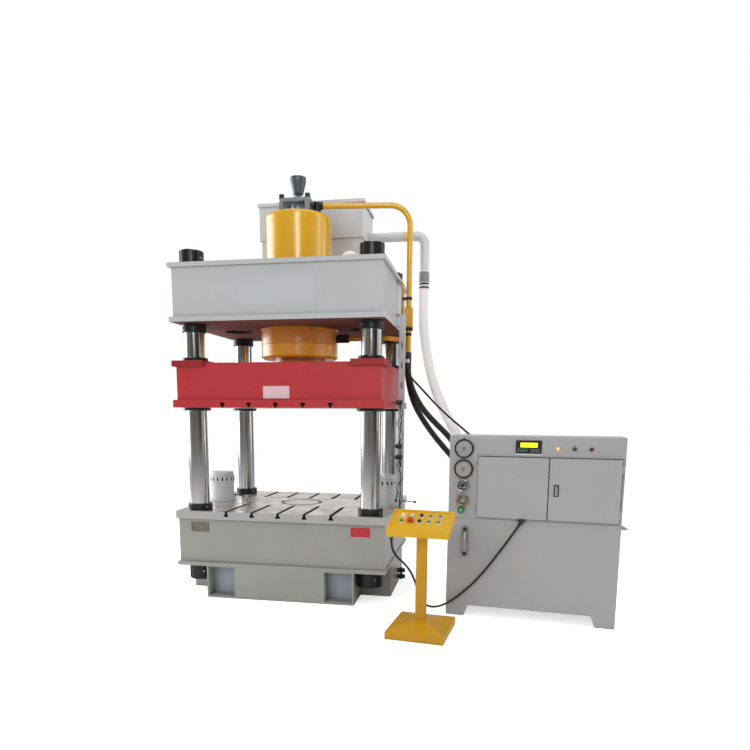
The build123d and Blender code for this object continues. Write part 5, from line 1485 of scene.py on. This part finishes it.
@dataclass
class CylinderTop:
    """Main cylinder, its filling valve and tank, and the pipes to them."""

    barrel_radius: float = 252.8
    barrel_top: float = 2876.0
    edge: float = 26.0
    valve_top: float = 2990.0
    valve_screw_at: float = 101.0
    lid_top: float = 3103.0
    duct: Point = (0.0, 337.0, 2935.0)
    suction_y: float = 600.0
    suction_level: float = 2860.0
    suction_drop_x: float = 923.0
    pressure_drop: tuple[float, float] = (855.0, 100.0)
    clip_level: float = 2260.0

    def build(self) -> None:
        """Dress the cylinder, tank and pipes and add screws, flanges and clips."""
        dress(YELLOW, "pressure_pipe")
        dress(TwoFinishes("cylinder_enamels", YELLOW, FLANGE_SHADED_YELLOW, Zone.CYLINDER_FLANGE), "main_cylinder")
        dress(GLAND_LIT_YELLOW, "gland_ring")
        dress(SHADE_AND_REFLECTION_ORANGE, "ring_pipe")
        dress(TwoFinishes("filling_valve_steels", FORGED, CUP_STEEL, Zone.PILOT_CUP), "filling_valve")
        dress(LIT_PALE_GREY, "fill_tank", "suction_pipe")
        dress(BLACK_OXIDE, "pipe_fittings")
        self.round_barrel_edge()
        self.set_screws()
        self.finish_tank()
        self.clip_pipes()

    def round_barrel_edge(self) -> None:
        """Build the barrel's upper edge up to a tighter radius with a fully welded ring."""
        r, top = self.barrel_radius, self.barrel_top
        arc = (around(self.edge, a) for a in range(90, -1, -10))
        corner = [(r - self.edge + x, top - self.edge + z) for x, z in arc]
        outline = [(170, top), *corner, (r, top - 76), (240, top - 80), (170, top - 16)]
        ring = Shape().turned(outline, GROUND, 96, True)
        ring.piece("barrel_edge_ring", YELLOW, "cylinder_paint", sharp=50)

    def set_screws(self) -> None:
        """Set the screws and the collar of the filling valve and the locking screws of the gland ring."""
        shape = Shape()
        for x, y in CORNERS:
            shape.turned([
                (0, 14), (10, 14), (10.5, 28), (18, 28), (20, 26), (20, 2), (24, 1.6), (24, 0), (0, 0),
            ], on(GROUND, x * self.valve_screw_at, y * self.valve_screw_at, self.valve_top), 28)
        shape.piece("valve_cap_screws", BLACK_OXIDE, "black_oxide")
        collar = Shape().turned([
            (36, 0), (62, 0), (64, 2), (64, 12), (62, 14), (52.5, 14), (52.5, 26), (40, 26),
        ], on(GROUND, 0, 0, self.valve_top), 40, True)
        collar.piece("valve_collar", FORGED, "forged_steel")
        shape = Shape()
        for turn in (205, 335, 25, 155):
            x, y = around(299, turn)
            shape.cap_screw(6, 5, aimed((x, y, 1822), (x, y, 0)))
        shape.piece("gland_ring_screws", BLACK_OXIDE, "black_oxide")

    def finish_tank(self) -> None:
        """Screw down the tank's lid and put a breather and two flanges on the tank."""
        shape = Shape()
        spots = [(x, y, x) for x in (-420, -210, 0, 210, 420) for y in (356, 804)]
        spots += [(x, y, y) for x in (-434, 434) for y in (470, 580, 690)]
        for x, y, turn in spots:
            shape.hex_head(11, 5, on(GROUND, x, y, self.lid_top, turn))
        shape.piece("tank_lid_screws", ZINC, "zinc_plate")
        breather = Shape().turned([
            (0, 0), (34, 0), (34, 8), (24, 10), (24, 22), (36, 24), (38, 28), (38, 48), (34, 56), (20, 60),
            (0, 61),
        ], on(GROUND, 250, 690, self.lid_top), 36)
        breather.piece("tank_breather", BLACK, "black_plastic")
        flange = Shape().ring(56, 86, 0, 12, aimed(self.duct, (0, 1, 0)), 40)
        for turn in range(0, 360, 60):
            x, z = around(72, turn)
            flange.hex_head(13, 7, aimed(Vector(self.duct) + Vector((x, 0, z)), (0, -1, 0)))
        flange.piece("tank_duct_flange", LIT_PALE_GREY, "grey_paint")
        collar = [(38.6, 0), (52, 0), (52, 4), (46, 8), (38.6, 8)]
        socket = Shape().turned(collar, self.suction(440), 40, True)
        socket.piece("suction_pipe_flange", LIT_PALE_GREY, "grey_paint")

    def suction(self, x: float) -> Matrix:
        """Give a place along the level stretch of the suction pipe."""
        return aimed((x, self.suction_y, self.suction_level), (1, 0, 0))

    def clip_pipes(self) -> None:
        """Hold the pipes with bands and clips and run the weld beads of the cylinder."""
        bands = Shape()
        x, y = self.pressure_drop
        for z in (self.clip_level, 1990):
            bands.ring(21.2, 25, 0, 22, on(GROUND, x, y, z), 32)
        bands.block((34, 24, 22), on(GROUND, x - 33, y, self.clip_level), 2)
        bands.ring(20.2, 24, 0, 18, aimed((560, 0, 1965), (1, 0, 0)), 32)
        bands.piece("pipe_bands", BLACK_OXIDE, "black_oxide")
        mark = Shape().ring(38.3, 39.2, 0, 34, self.suction(745), 36)
        mark.piece("suction_pipe_mark_band", PALE_YELLOW, "orange_paint")
        sleeve = Shape().turned([
            (38.4, 0), (41.5, 1), (42, 4), (42, 78), (41.5, 81), (38.4, 82),
        ], on(GROUND, self.suction_drop_x, self.suction_y, 2486), 40, True)
        sleeve.piece("suction_pipe_sleeve", SLEEVE_GREY, "black_plastic")
        bead = Shape()
        for spot, way, r in (
            ((0, 0, 2435.5), (0, 0, 1), 253), ((0, 0, 2030), (0, 0, -1), 301),
            ((0, 118, self.duct[2]), (0, 1, 0), 56),
        ):
            bead.turned([(r - 1, 0), (r + 6, 0), (r + 4, 3), (r - 1, 6)], aimed(spot, way), 64, True)
        bead.piece("cylinder_weld_beads", YELLOW, "cylinder_paint", sharp=60)


@dataclass
class Slide:
    """Moving beam with its slotted plate, pads and guide bushes."""

    column_x: float = 665.0
    column_y: float = 490.0
    half: tuple[float, float] = (755.0, 617.0)
    welds: tuple[float, float] = (1482.0, 1741.0)
    bush_top: float = 1784.5
    bush_foot: float = 1405.5
    screw_ring: float = 84.0

    def build(self) -> None:
        """Dress the slide and add its screws, blank plate, welds and wipers."""
        dress(TwoFinishes("slide_beam_enamels", RED, DARK_RED, Zone.SLIDE_PADS), "slide_beam")
        face = TwoFinishes("slide_enamel_and_steel", RED, TABLE_STEEL, Zone.SLIDE_STEEL)
        dress(TwoFinishes("slide_finishes", face, SHADED_SLOT_STEEL, Zone.SLIDE_SLOTS), "slide_plate")
        dress(BLACK_OXIDE, "guide_bushes")
        screws, wipers = Shape(), Shape()
        for side, row in CORNERS:
            x, y = side * self.column_x, row * self.column_y
            for turn in range(30, 360, 60):
                a, b = around(self.screw_ring, turn)
                screws.cap_screw(6.5, 6, on(GROUND, x + a, y + b, self.bush_top))
                screws.cap_screw(7, 5, aimed((x + a, y + b, self.bush_foot), (0, 0, -1)))
            wiper = [(73.0, 0), (79, 0), (78, 4), (74, 7), (73.0, 7)]
            wipers.turned(wiper, on(GROUND, x, y, self.bush_top), 48, True)
        screws.piece("bush_flange_screws", BRIGHT, "bright_metal", "slide")
        plate = Shape().blank_plate(on(PRESS_FRONT, 1.5, 1534.5, self.half[1]), 195, 87)
        plate.piece("slide_blank_plate", PINK_LABEL, "slide_paint", "slide")
        beads = Shape().beads(*self.half, self.welds, 3.5)
        beads.piece("slide_weld_beads", RED, "slide_paint", "slide", 60)
        wipers.piece("column_wipers", BLACK, "black_plastic", "slide")


@dataclass
class StopBlocks:
    """Height stops on the table, with their screws."""

    stop_x: float = 690.0
    slot_ring: float = 98.6
    slot_level: float = 843.0
    slot_count: int = 16
    base_ring: float = 100.2
    base_top: float = 677.4

    def build(self) -> None:
        """Dress the stops and add painted spanner-hole shade, base screws and the longer lever on the right.
        """
        levers = TwoFinishes("stop_block_enamel_and_levers", STOP_LIT_GREY, BLACK_OXIDE, Zone.STOP_LEVERS)
        dress(levers, "stop_blocks")
        dress(STOP_LIT_GREY, "left_stop_screw", "right_stop_screw")
        screws = Shape()
        for side, body in ((-self.stop_x, "left_stop"), (self.stop_x, "right_stop")):
            slots = Shape()
            # Black marks paint the shade in the spanner holes; the two rings are dark seams
            for i in range(self.slot_count):
                x, y = around(self.slot_ring, 360 * i / self.slot_count)
                slots.block((13, 30, 1.8), aimed((side + x, y, self.slot_level), (x, y, 0)), 0.6, 1)
            seam = on(GROUND, side, 0, 811.2)
            slots.ring(93, 99.2, 0, 0.7, seam, 48)
            slots.ring(91.5, 92.6, 57.8, 60.2, seam, 48)
            slots.piece(body + "_spanner_hole_shade_and_seams", BLACK, "black_plastic", body)
            for turn in (31.5, 121.5, 211.5, 301.5):
                x, y = around(self.base_ring, turn)
                screws.cap_screw(4.6, 3.5, on(GROUND, side + x, y, self.base_top))
        screws.piece("stop_base_screws", BLACK_OXIDE, "black_oxide")
        lever = Shape().swept([(836, -34, 700), (938, -62, 699)], 4.0, GROUND, 3)
        ball = [around(11, a) for a in range(-90, 91, 15)]
        lever.turned(ball, on(GROUND, 945, -63.5, 699), 24)
        lever.piece("right_stop_lever_end", BLACK, "black_plastic")


@dataclass
class LimitRail:
    """Upright channel with the proximity sensors."""

    rail_x: float = 832.5
    rail_front: float = 111.9
    sensor_front: float = 151.8
    sensor_screws: tuple[float, float] = (822.0, 846.0)
    nose: tuple[float, float] = (797.0, -132.0)
    sensor_levels: tuple[float, ...] = (1470.0, 1139.0, 1054.0)
    slot_pitch: float = 150.0
    # Upper end, lower end and phase of each tied lead's waves
    leads: tuple[Point, ...] = ((1443, 1165, 0.0), (1112, 706, 0.4), (1027, 700, 3.4))
    wave_length: float = 175.0

    def build(self) -> None:
        """Dress rail and sensors and add painted slot shade, nuts, screws, tied leads and lights."""
        dress(LIT_PALE_GREY, "limit_rail")
        dress(BLACK, "limit_sensors")
        slots = Shape()
        # Black marks on the rail paint the shade inside its slots
        for i in range(9):
            z = 700 + self.slot_pitch * i
            if all(abs(z - level) > 45 for level in self.sensor_levels):
                slots.block((9, 46, 0.6), on(PRESS_FRONT, self.rail_x, z, self.rail_front), 0.2, 1)
        slots.piece("rail_slot_painted_shade", BLACK, "black_plastic")
        bright, lights = Shape(), Shape()
        left, right = self.sensor_screws
        for z in self.sensor_levels:
            nose = aimed((*self.nose, z), (-1, 0, 0))
            bright.ring(9.3, 13, -10, -4, nose, 6)
            bright.ring(9.3, 12, -1, 3, nose, 6)
            bright.cap_screw(3.2, 2.4, on(PRESS_FRONT, left, z + 10, self.sensor_front))
            bright.cap_screw(3.2, 2.4, on(PRESS_FRONT, right, z - 10, self.sensor_front))
            dot = on(PRESS_FRONT, right, z + 11, self.sensor_front)
            lights.turned([(0, 1.4), (1.6, 1.0), (2.0, -0.3)], dot, 12)
        for z in (2094.5, 654.5):
            for y in (-116, -84):
                bright.hex_head(10, 5, on(GROUND, 806, y, z))
        bright.piece("rail_nuts_and_screws", BRIGHT, "bright_metal")
        slack = Shape()
        for high, low, phase in self.leads:
            wave = []
            for z in range(high, low, -6):
                swing = sin(phase + tau * (high - z) / self.wave_length) * min(1, (high - z) / 60)
                wave.append((833 + 25 * swing, -161 - 3 * cos(phase + z / 30), z))
            slack.swept([(830, -134, high + 4), *wave, (833, -150, low - 14)], 2.4, GROUND, 2)
        slack.piece("tied_sensor_leads", JACKET, "cable_jacket")
        lights.piece("sensor_lights", LitLens("lit_amber_dot", "#FFB040", glow=0.6), "lamp_lens")


@dataclass
class ControlStand:
    """Slanted button desk on its stem and hipped base."""

    pitch: float = 58.5
    shift: float = -4.0
    rows: tuple[float, float] = (84.0, 151.0)
    stop_at: int = 1
    lamp_at: int = 5
    jog_at: int = 9
    selectors: tuple[tuple[int, str], ...] = ((2, "mode_selector"), (7, "speed_selector"))

    def spot(self, index: int) -> tuple[float, float]:
        """Give the place of a control on the panel, counted from the front left."""
        return self.shift + self.pitch * (index % 5 - 2), self.rows[index // 5]

    def build(self) -> None:
        """Dress the stand and its controls and add rings, marks and screws."""
        dress(STEM_SHADED_YELLOW, "stand_column")
        dress(STAND_YELLOW, "stand_desk")
        dress(BRIGHT, "control_bezels")
        dress(GREEN_CAP, "reset_button", "down_button", "up_button", "clamp_button", "jog_button")
        dress(WHITE_CAP, "start_button")
        dress(RED_CAP, "stop_mushroom")
        dress(BLACK, "mode_selector", "speed_selector")
        self.ring_controls()
        self.mark_controls()
        screws = Shape()
        for x in (-184, 184):
            for y in (10, 100, 190):
                screws.turned([(0, 2.0), (2.4, 1.8), (3.8, 0.8), (4.2, -0.3)], on(PANEL, x, y, 3), 16)
        screws.piece("panel_screws", BRIGHT, "bright_metal")

    def ring_controls(self) -> None:
        """Put a pale collar round each control, a lens on the lamp and a ring under the mushroom."""
        collars = Shape()
        for index in range(10):
            if index != self.stop_at:
                collar = [(15.1, 0), (17.6, 0), (17.2, 2.2), (15.6, 4.6), (15.1, 4.6)]
                collars.turned(collar, on(PANEL, *self.spot(index)), 36, True)
        collars.piece("control_collars", WHITE_CAP, "white_plastic")
        lens = Shape().turned([
            (11.4, 5), (11.4, 12), (10.6, 13.2), (8, 14.2), (4, 14.9), (0, 15.1),
        ], on(PANEL, *self.spot(self.lamp_at)), 32)
        lens.piece("stand_lamp_lens", PALE_LENS, "lamp_lens")
        backing = [(15.2, 0), (21.5, 0), (21, 2), (15.2, 3)]
        ring = Shape().turned(backing, on(PANEL, *self.spot(self.stop_at)), 40, True)
        ring.piece("stop_backing_ring", YELLOW, "stand_paint")

    def mark_controls(self) -> None:
        """Put a white mark on each selector and a red tag below the jog button."""
        for index, body in self.selectors:
            x, y = self.spot(index)
            mark = Shape().block((1.4, 8, 0.5), on(PANEL, x, y + 5, 21.7))
            mark.piece(body + "_mark", WHITE_INK, "white_plastic", body)
        x, y = self.spot(self.jog_at)
        tag = Shape().block((9, 5, 0.8), on(PANEL, x, y - 22), 0.3, 1)
        tag.piece("jog_red_tag", RED_INK, "red_plastic")


@dataclass
class OilUnit:
    """Oil tank, switch box, doors, gauges and controls of the oil unit."""

    gauge_s: float = 97.0
    gauge_levels: tuple[float, float] = (1160.0, 1024.0)
    wheel_s: float = 96.0
    wheel_levels: tuple[float, float] = (913.0, 813.0)
    knob: tuple[float, float] = (88.0, 744.0)
    lamp_places: tuple[float, float, float] = (698.0, 800.0, 902.0)
    lamp_level: float = 1171.0
    label_level: float = 1195.0
    screen: tuple[float, float] = (517.0, 1191.0)
    first_keys: tuple[float, float] = (449.5, 533.5)
    level_gauge: tuple[float, float] = (119.0, 528.5)
    hinge_levels: tuple[float, float] = (759.0, 1048.0)
    hinge_screws: tuple[float, float] = (178.0, 1104.0)
    hinge_pins: tuple[float, float] = (191.0, 1098.0)
    hinge_depth: float = -11.0
    # Corners of the black strip that paints the shadow round the doors
    seal_low: tuple[float, float] = (195.2, 700.6)
    seal_high: tuple[float, float] = (1094.8, 1111.4)
    plate_depth: float = 290.0
    tank_depth: float = 850.0

    def build(self) -> None:
        """Dress the unit and add its dials, glasses, keys, labels and hinges."""
        dress(UNIT_SHADED_GREY, "oil_tank", "left_door")
        dress(TwoFinishes("switch_box_enamel_and_gland", UNIT_SHADED_GREY, BLACK, Zone.CABLE_ENTRY), "switch_box")
        dress(TwoFinishes("door_enamel_and_lock", UNIT_SHADED_GREY, BLACK, Zone.LOCK_PLATE), "right_door")
        dress(BRIGHT, "lock_handle", "signal_lamps", "upper_handwheel")
        dress(GAUGE_STEEL, "level_gauge")
        dress(BLACK_OXIDE, "gauge_cases")
        dress(DARK_RED_CAP, "upper_needle", "lower_needle")
        dress(BRASS, "lower_handwheel")
        dress(GREEN_KNOB, "isolator_knob")
        dress(NAVY, "operator_terminal")
        dress(TwoFinishes("mounting_plate_and_gear", ZINC, KEY_GREY, Zone.SWITCH_GEAR), "mounting_plate")
        self.make_gauges()
        self.cap_needles()
        self.trim_wheels()
        self.make_terminal()
        self.make_lamps()
        self.make_level_gauge()
        self.fix_labels()
        self.finish_doors()
        self.fit_switch_gear()
        self.finish_tank()

    def make_gauges(self) -> None:
        """Make the dials, their marks and figures, rims and glasses."""
        dials, marks, reds, rims, glasses = Shape(), Shape(), Shape(), Shape(), Shape()
        for level in self.gauge_levels:
            face = front(self.gauge_s, level, 6)
            dials.ring(2.8, 56.6, 0.1, 1.1, face, 64)
            for i in range(26):
                turn, whole = 225 - 270 * i / 25, i % 5 == 0
                long, wide = (8.0, 1.3) if whole else (4.5, 0.7)
                marks.block((long, wide, 0.3), on(on(face, 0, 0, 1.1, turn), 51.5 - long / 2, 0))
                if whole:
                    marks.letters(str(i), 11, on(face, *around(35, turn), 1.3))
            marks.letters("MPa", 12, on(face, 0, -22, 1.3))
            for i in range(12):
                turn = -45 + 54 * (i + 0.5) / 12
                reds.block((2.2, 4.4, 0.25), on(on(face, 0, 0, 1.1, turn), 53.5, 0))
            rims.turned([
                (53.4, 12.5), (54.0, 16.4), (58.0, 17.6), (62.4, 16.8), (63.6, 14.2), (63.6, 2), (61.9, 2),
                (61.9, 12.5),
            ], front(self.gauge_s, level), 72, True)
            glasses.turned([(0, 13.6), (53.2, 13.0), (53.2, 12.2), (0, 12.8)], front(self.gauge_s, level), 56)
        dials.piece("gauge_dials", DIAL, "dial_white")
        marks.piece("gauge_marks", INK, "black_plastic")
        reds.piece("gauge_red_arcs", RED_INK, "gauge_red")
        rims.piece("gauge_rims", RIM_CHROME_DARK_REFLECTION, "bright_metal")
        glasses.piece("gauge_glasses", GLASS, "lamp_lens")

    def cap_needles(self) -> None:
        """Put a cap with a short tail on each needle."""
        for level, body in zip(self.gauge_levels, ("upper_needle", "lower_needle")):
            hub = front(self.gauge_s, level, 10.3)
            cap = Shape().turned([(0, 2.4), (7, 2.2), (11.5, 1.4), (12.5, 0)], hub, 28)
            cap.block((5, 17, 0.8), on(on(hub, 0, 0, 0, 45), 0, 12), 0.3, 1)
            cap.piece(body + "_cap", DARK_RED_CAP, "gauge_red", body)

    def trim_wheels(self) -> None:
        """Cap the hubs of the handwheels and the knob and put escutcheons behind them."""
        for level, body, finish, slot in zip(
            self.wheel_levels, ("upper_handwheel", "lower_handwheel"), (BLACK, BRIGHT),
            ("black_plastic", "bright_metal"),
        ):
            hub = front(self.wheel_s, level)
            cap = Shape().turned([(13.3, 12), (14, 13), (14, 30), (12.6, 32.6), (8, 33.6), (0, 34)], hub, 32)
            cap.turned([(27, 22), (31, 26.2), (33, 26.2), (30.4, 20)], hub, 48, True)
            cap.piece(body + "_cap", finish, slot, body)
        knob = Shape().turned([(0, 28.4), (5, 28.2), (7, 27.4), (7.5, 26.8)], front(*self.knob), 28)
        knob.piece("isolator_knob_cap", PALE_GREEN, "green_plastic", "isolator_knob")
        rings = Shape().turned([(25, 0), (29, 0), (29, 1.4), (25, 1.8)], front(*self.knob), 40, True)
        for level in self.wheel_levels:
            rings.turned([(14.5, 0), (26, 0), (25, 1.6), (14.5, 2.2)], front(self.wheel_s, level), 40, True)
        rings.piece("control_escutcheons", BRIGHT, "bright_metal")

    def make_terminal(self) -> None:
        """Make the terminal's frame, lit screen, figures and keys."""
        s, z = self.screen
        screen = Shape().block((108, 30, 0.8), front(s, z, 4.1), 0.3, 1)
        screen.piece("terminal_screen", SCREEN, "lamp_lens")
        figures = Shape()
        for x, y, text in (
            (-26, 5.5, "12.5  180"), (-26, -6.5, "0.0   500"), (30, 5.5, "25"), (30, -6.5, "60"),
        ):
            figures.letters(text, 8.5, front(s + x, z + y, 5.1), 0.2)
        figures.piece("terminal_figures", INK, "black_plastic")
        bezel = Shape()
        for x, y, w, h in ((0, 18, 120, 4), (0, -18, 120, 4), (57.5, 0, 4, 32), (-57.5, 0, 4, 32)):
            bezel.block((w, h, 0.9), front(s + x, z + y, 5.9), 0.4, 1)
        bezel.piece("terminal_bezel", BLACK, "black_plastic")
        green, grey = Shape(), Shape()
        left, right = self.first_keys
        for i in range(5):
            for height, y in ((7.5, 1153), (4.5, 1165)):
                green.block((8.5, height, 1.4), front(left + 13 * i, y, 6), 0.6)
            for j in range(3):
                grey.block((8.2, 5.4, 1.4), front(right + 11.5 * i, 1148 + 8 * j, 6), 0.6)
        green.piece("terminal_function_keys", KEY_GREEN, "green_plastic")
        grey.piece("terminal_number_keys", KEY_GREY, "black_plastic")
        strip = Shape().block((166, 9, 1.6), front(515.5, 1129), 0.5)
        strip.piece("terminal_strip", WHITE_INK, "white_plastic")

    def make_lamps(self) -> None:
        """Make the lenses and rings of the three lamps."""
        heart = tuple(front(self.lamp_places[0], self.lamp_level, 15).translation)
        finishes = (LitLens("lit_orange_lens", centre=heart), DARK_GREEN_LENS, DARK_RED_LENS)
        rings = Shape()
        for s, finish, name in zip(self.lamp_places, finishes, ("power_lamp", "run_lamp", "fault_lamp")):
            lens = Shape().turned([
                (10.2, 3.6), (10.4, 8), (12.6, 8), (12.8, 12), (11.5, 14), (8, 15.6), (4, 16.4), (0, 16.6),
            ], front(s, self.lamp_level), 32)
            lens.piece(name + "_lens", finish, "lamp_lens")
            rings.turned([
                (10.6, 3), (10.6, 6), (13.6, 6), (14.6, 4.6), (14.6, 0), (14.2, 0), (14.2, 3),
            ], front(s, self.lamp_level), 32, True)
        rings.piece("lamp_rings", BRIGHT, "bright_metal")

    def make_level_gauge(self) -> None:
        """Make the oil column, glass and bolts of the level gauge."""
        s, z = self.level_gauge
        column = Shape().block((11, 128, 2.4), front(s, z, 9.1), 0.8)
        column.piece("level_gauge_back", WHITE_CAP, "white_plastic")
        oil = Shape().block((6, 74, 1.2), front(s, z - 25.5, 11.4), 0.5)
        oil.piece("level_gauge_oil", OIL, "lamp_lens")
        marks = Shape()
        for shift in (-50.5, 31.5):
            marks.block((12, 1.6, 0.4), front(s, z + shift, 12.6))
        marks.piece("level_gauge_marks", RED_INK, "gauge_red")
        Shape().block((14, 130, 1.6), front(s, z, 13.2), 0.7).piece("level_gauge_glass", GLASS, "lamp_lens")
        bolts = Shape()
        for shift in (-84.4, 84.4):
            bolts.turned([
                (0, 20.4), (5, 20.4), (5.4, 23), (9.6, 23), (11.3, 21.5), (11.3, 14.2), (13.5, 14.2),
                (13.5, 13.6), (0, 13.6),
            ], front(s, z + shift), 28)
        bolts.piece("level_gauge_bolts", BLACK_OXIDE, "black_oxide")

    def fix_labels(self) -> None:
        """Fix small blank label plates by the controls."""
        dark, pale, red = Shape(), Shape(), Shape()
        for s, z, w in ((97, 1233, 34), (96, 968, 32), (96, 866, 34)):
            pale.block((w + 4, 11, 0.8), front(s, z), 0.3, 1)
            dark.block((w - 2, 3.4, 0.3), front(s, z + 2.2, 0.8))
            dark.block((w - 8, 2.2, 0.3), front(s, z - 2.6, 0.8))
        for s, bar in zip(self.lamp_places, (red, dark, dark)):
            pale.block((34, 10, 0.8), front(s, self.label_level), 0.3, 1)
            bar.block((27, 4.6, 0.3), front(s, self.label_level, 0.8))
        pale.piece("label_plates", WHITE_INK, "white_plastic")
        dark.piece("label_bars", INK, "black_plastic")
        red.piece("label_red_bar", RED_INK, "red_plastic")

    def finish_doors(self) -> None:
        """Add hinge screws and sleeves and black strips painting the shadow round and between the doors."""
        screws, fixed = Shape(), Shape()
        for s in self.hinge_screws:
            for z in self.hinge_levels:
                for shift in (6, 18):
                    screws.turned([(0, 2.2), (2.2, 2), (3.4, 0.9), (3.8, -0.2)], front(s, z + shift), 14)
        screws.piece("hinge_screws", BRIGHT, "bright_metal")
        sleeve = [(5.05, 0), (5.9, 0.5), (5.9, 23), (5.05, 23.5)]
        for s, body in zip(self.hinge_pins, ("left_leaf", "right_leaf")):
            moving = Shape()
            for z in self.hinge_levels:
                fixed.turned(sleeve, on(UNIT_GROUND, s, self.hinge_depth, z + 0.3), 20, True)
                moving.turned(sleeve, on(UNIT_GROUND, s, self.hinge_depth, z - 24.3), 20, True)
            moving.piece(body + "_hinge_sleeves", ZINC, "bright_metal", body)
        fixed.piece("hinge_sleeves", ZINC, "bright_metal")
        # A black strip round the doors paints the shadow of their gap
        (left, low), (right, high) = self.seal_low, self.seal_high
        corners = [(left, low, 2), (right, low, 2), (right, high, 2), (left, high, 2)]
        Shape().swept(corners, 2.6, UNIT_FRONT, 2, True).piece("door_gap_painted_shadow", BLACK, "black_plastic")
        # A black strip on the right door's edge paints the shade of the gap between the doors
        gap_shade_strip = Shape().block((4.5, 404, 0.9), front(652.4, 906, 20), 0.3, 1)
        gap_shade_strip.piece("door_gap_painted_shade", BLACK, "black_plastic", "right_leaf")

    def fit_switch_gear(self) -> None:
        """Fit toggles, terminal screws and slotted wire ducts to the gear on the mounting plate."""
        toggles, screws, ducts = Shape(), Shape(), Shape()
        upper, lower, plate = 1010, 885, -self.plate_depth
        for s in (315, 390, 465):
            toggles.block((34, 16, 5), front(s, upper, plate + 70), 1.5)
            toggles.block((30, 9, 12), front(s, upper + 4, plate + 74), 2)
        for s in (345, 440, 535):
            toggles.block((46, 34, 5), front(s, lower, plate + 95), 2)
        for s in range(310, 985, 25):
            for z in (757, 773):
                screws.cap_screw(4, 2.4, front(s, z, plate + 42))
        for z, proud in ((upper, 80), (lower, 60)):
            for s in range(635, 776, 20):
                screws.cap_screw(3.6, 2.4, front(s, z - 24, plate + proud))
        for z in (943, 813):
            ducts.block((780, 22, 44), front(645, z, plate), 1)
        toggles.piece("breaker_toggles", BLACK, "black_plastic")
        screws.piece("terminal_screws", BRIGHT, "bright_metal")
        ducts.piece("wire_ducts", WHITE_INK, "white_plastic")

    def finish_tank(self) -> None:
        """Add the tank's front edge, plug and filler ring, and the hatch and louvres at the back."""
        rim = Shape().block((1113, 5, 3.2), front(555, 686.5, -0.2), 1.0)
        rim.piece("tank_top_edge", UNIT_SHADED_GREY, "unit_paint")
        dark = Shape().ring(38.5, 46, 740, 752, on(UNIT_GROUND, 80, 790), 40)
        dark.hex_head(24, 14, on(UNIT_BACK, -120, 110, self.tank_depth))
        dark.piece("tank_plug_and_ring", BLACK_OXIDE, "black_oxide")
        middle = on(UNIT_BACK, -560, 380, self.tank_depth)
        hatch = Shape().block((420, 320, 6), middle, 2)
        for x in (-195, -65, 65, 195):
            for y in (-145, 145):
                hatch.hex_head(13, 7, on(middle, x, y, 6))
        hatch.piece("tank_hatch", UNIT_SHADED_GREY, "unit_paint")
        vents = Shape()
        for i in range(6):
            for x in (-820, -480):
                vents.block((150, 5, 3), on(UNIT_BACK, x, 1030 + 18 * i, 300), 1.2)
        vents.piece("switch_box_louvres", UNIT_SHADED_GREY, "unit_paint")


@dataclass
class PumpSet:
    """Motor, pump and valve block behind the switch box."""

    box_at: tuple[float, float] = (925.0, 640.0)
    box_foot: float = 965.0
    plug_s: tuple[float, float] = (373.0, 495.0)
    plug_depths: tuple[float, float] = (525.0, 595.0)
    plug_foot: float = 929.0

    def build(self) -> None:
        """Dress motor and valves and add the terminal box and the coil plugs."""
        dress(MOTOR_BLUE, "pump_set")
        dress(FORGED, "valve_block")
        box = Shape().block((120, 90, 62), on(UNIT_GROUND, *self.box_at, self.box_foot), 6, 3)
        box.block((126, 96, 7), on(UNIT_GROUND, *self.box_at, self.box_foot + 61), 3)
        box.piece("motor_terminal_box", MOTOR_BLUE, "pump_paint")
        plugs = Shape()
        for depth in self.plug_depths:
            for s in self.plug_s:
                plugs.block((26, 26, 30), on(UNIT_GROUND, s, depth, self.plug_foot), 2)
        plugs.piece("valve_coil_plugs", BLACK, "black_plastic")


def main() -> None:
    """Build the scene: camera and cords first, then each sub-assembly in order."""
    logging.basicConfig(level=logging.INFO, format="%(name)s: %(message)s")
    for part in (
        Studio(), Hoses(), PressFrame(), CylinderTop(), Slide(), StopBlocks(), LimitRail(), ControlStand(),
        OilUnit(), PumpSet(),
    ):
        LOG.info("%s", type(part).__name__)
        part.build()
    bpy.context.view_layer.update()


if __name__ == "__main__":
    main()
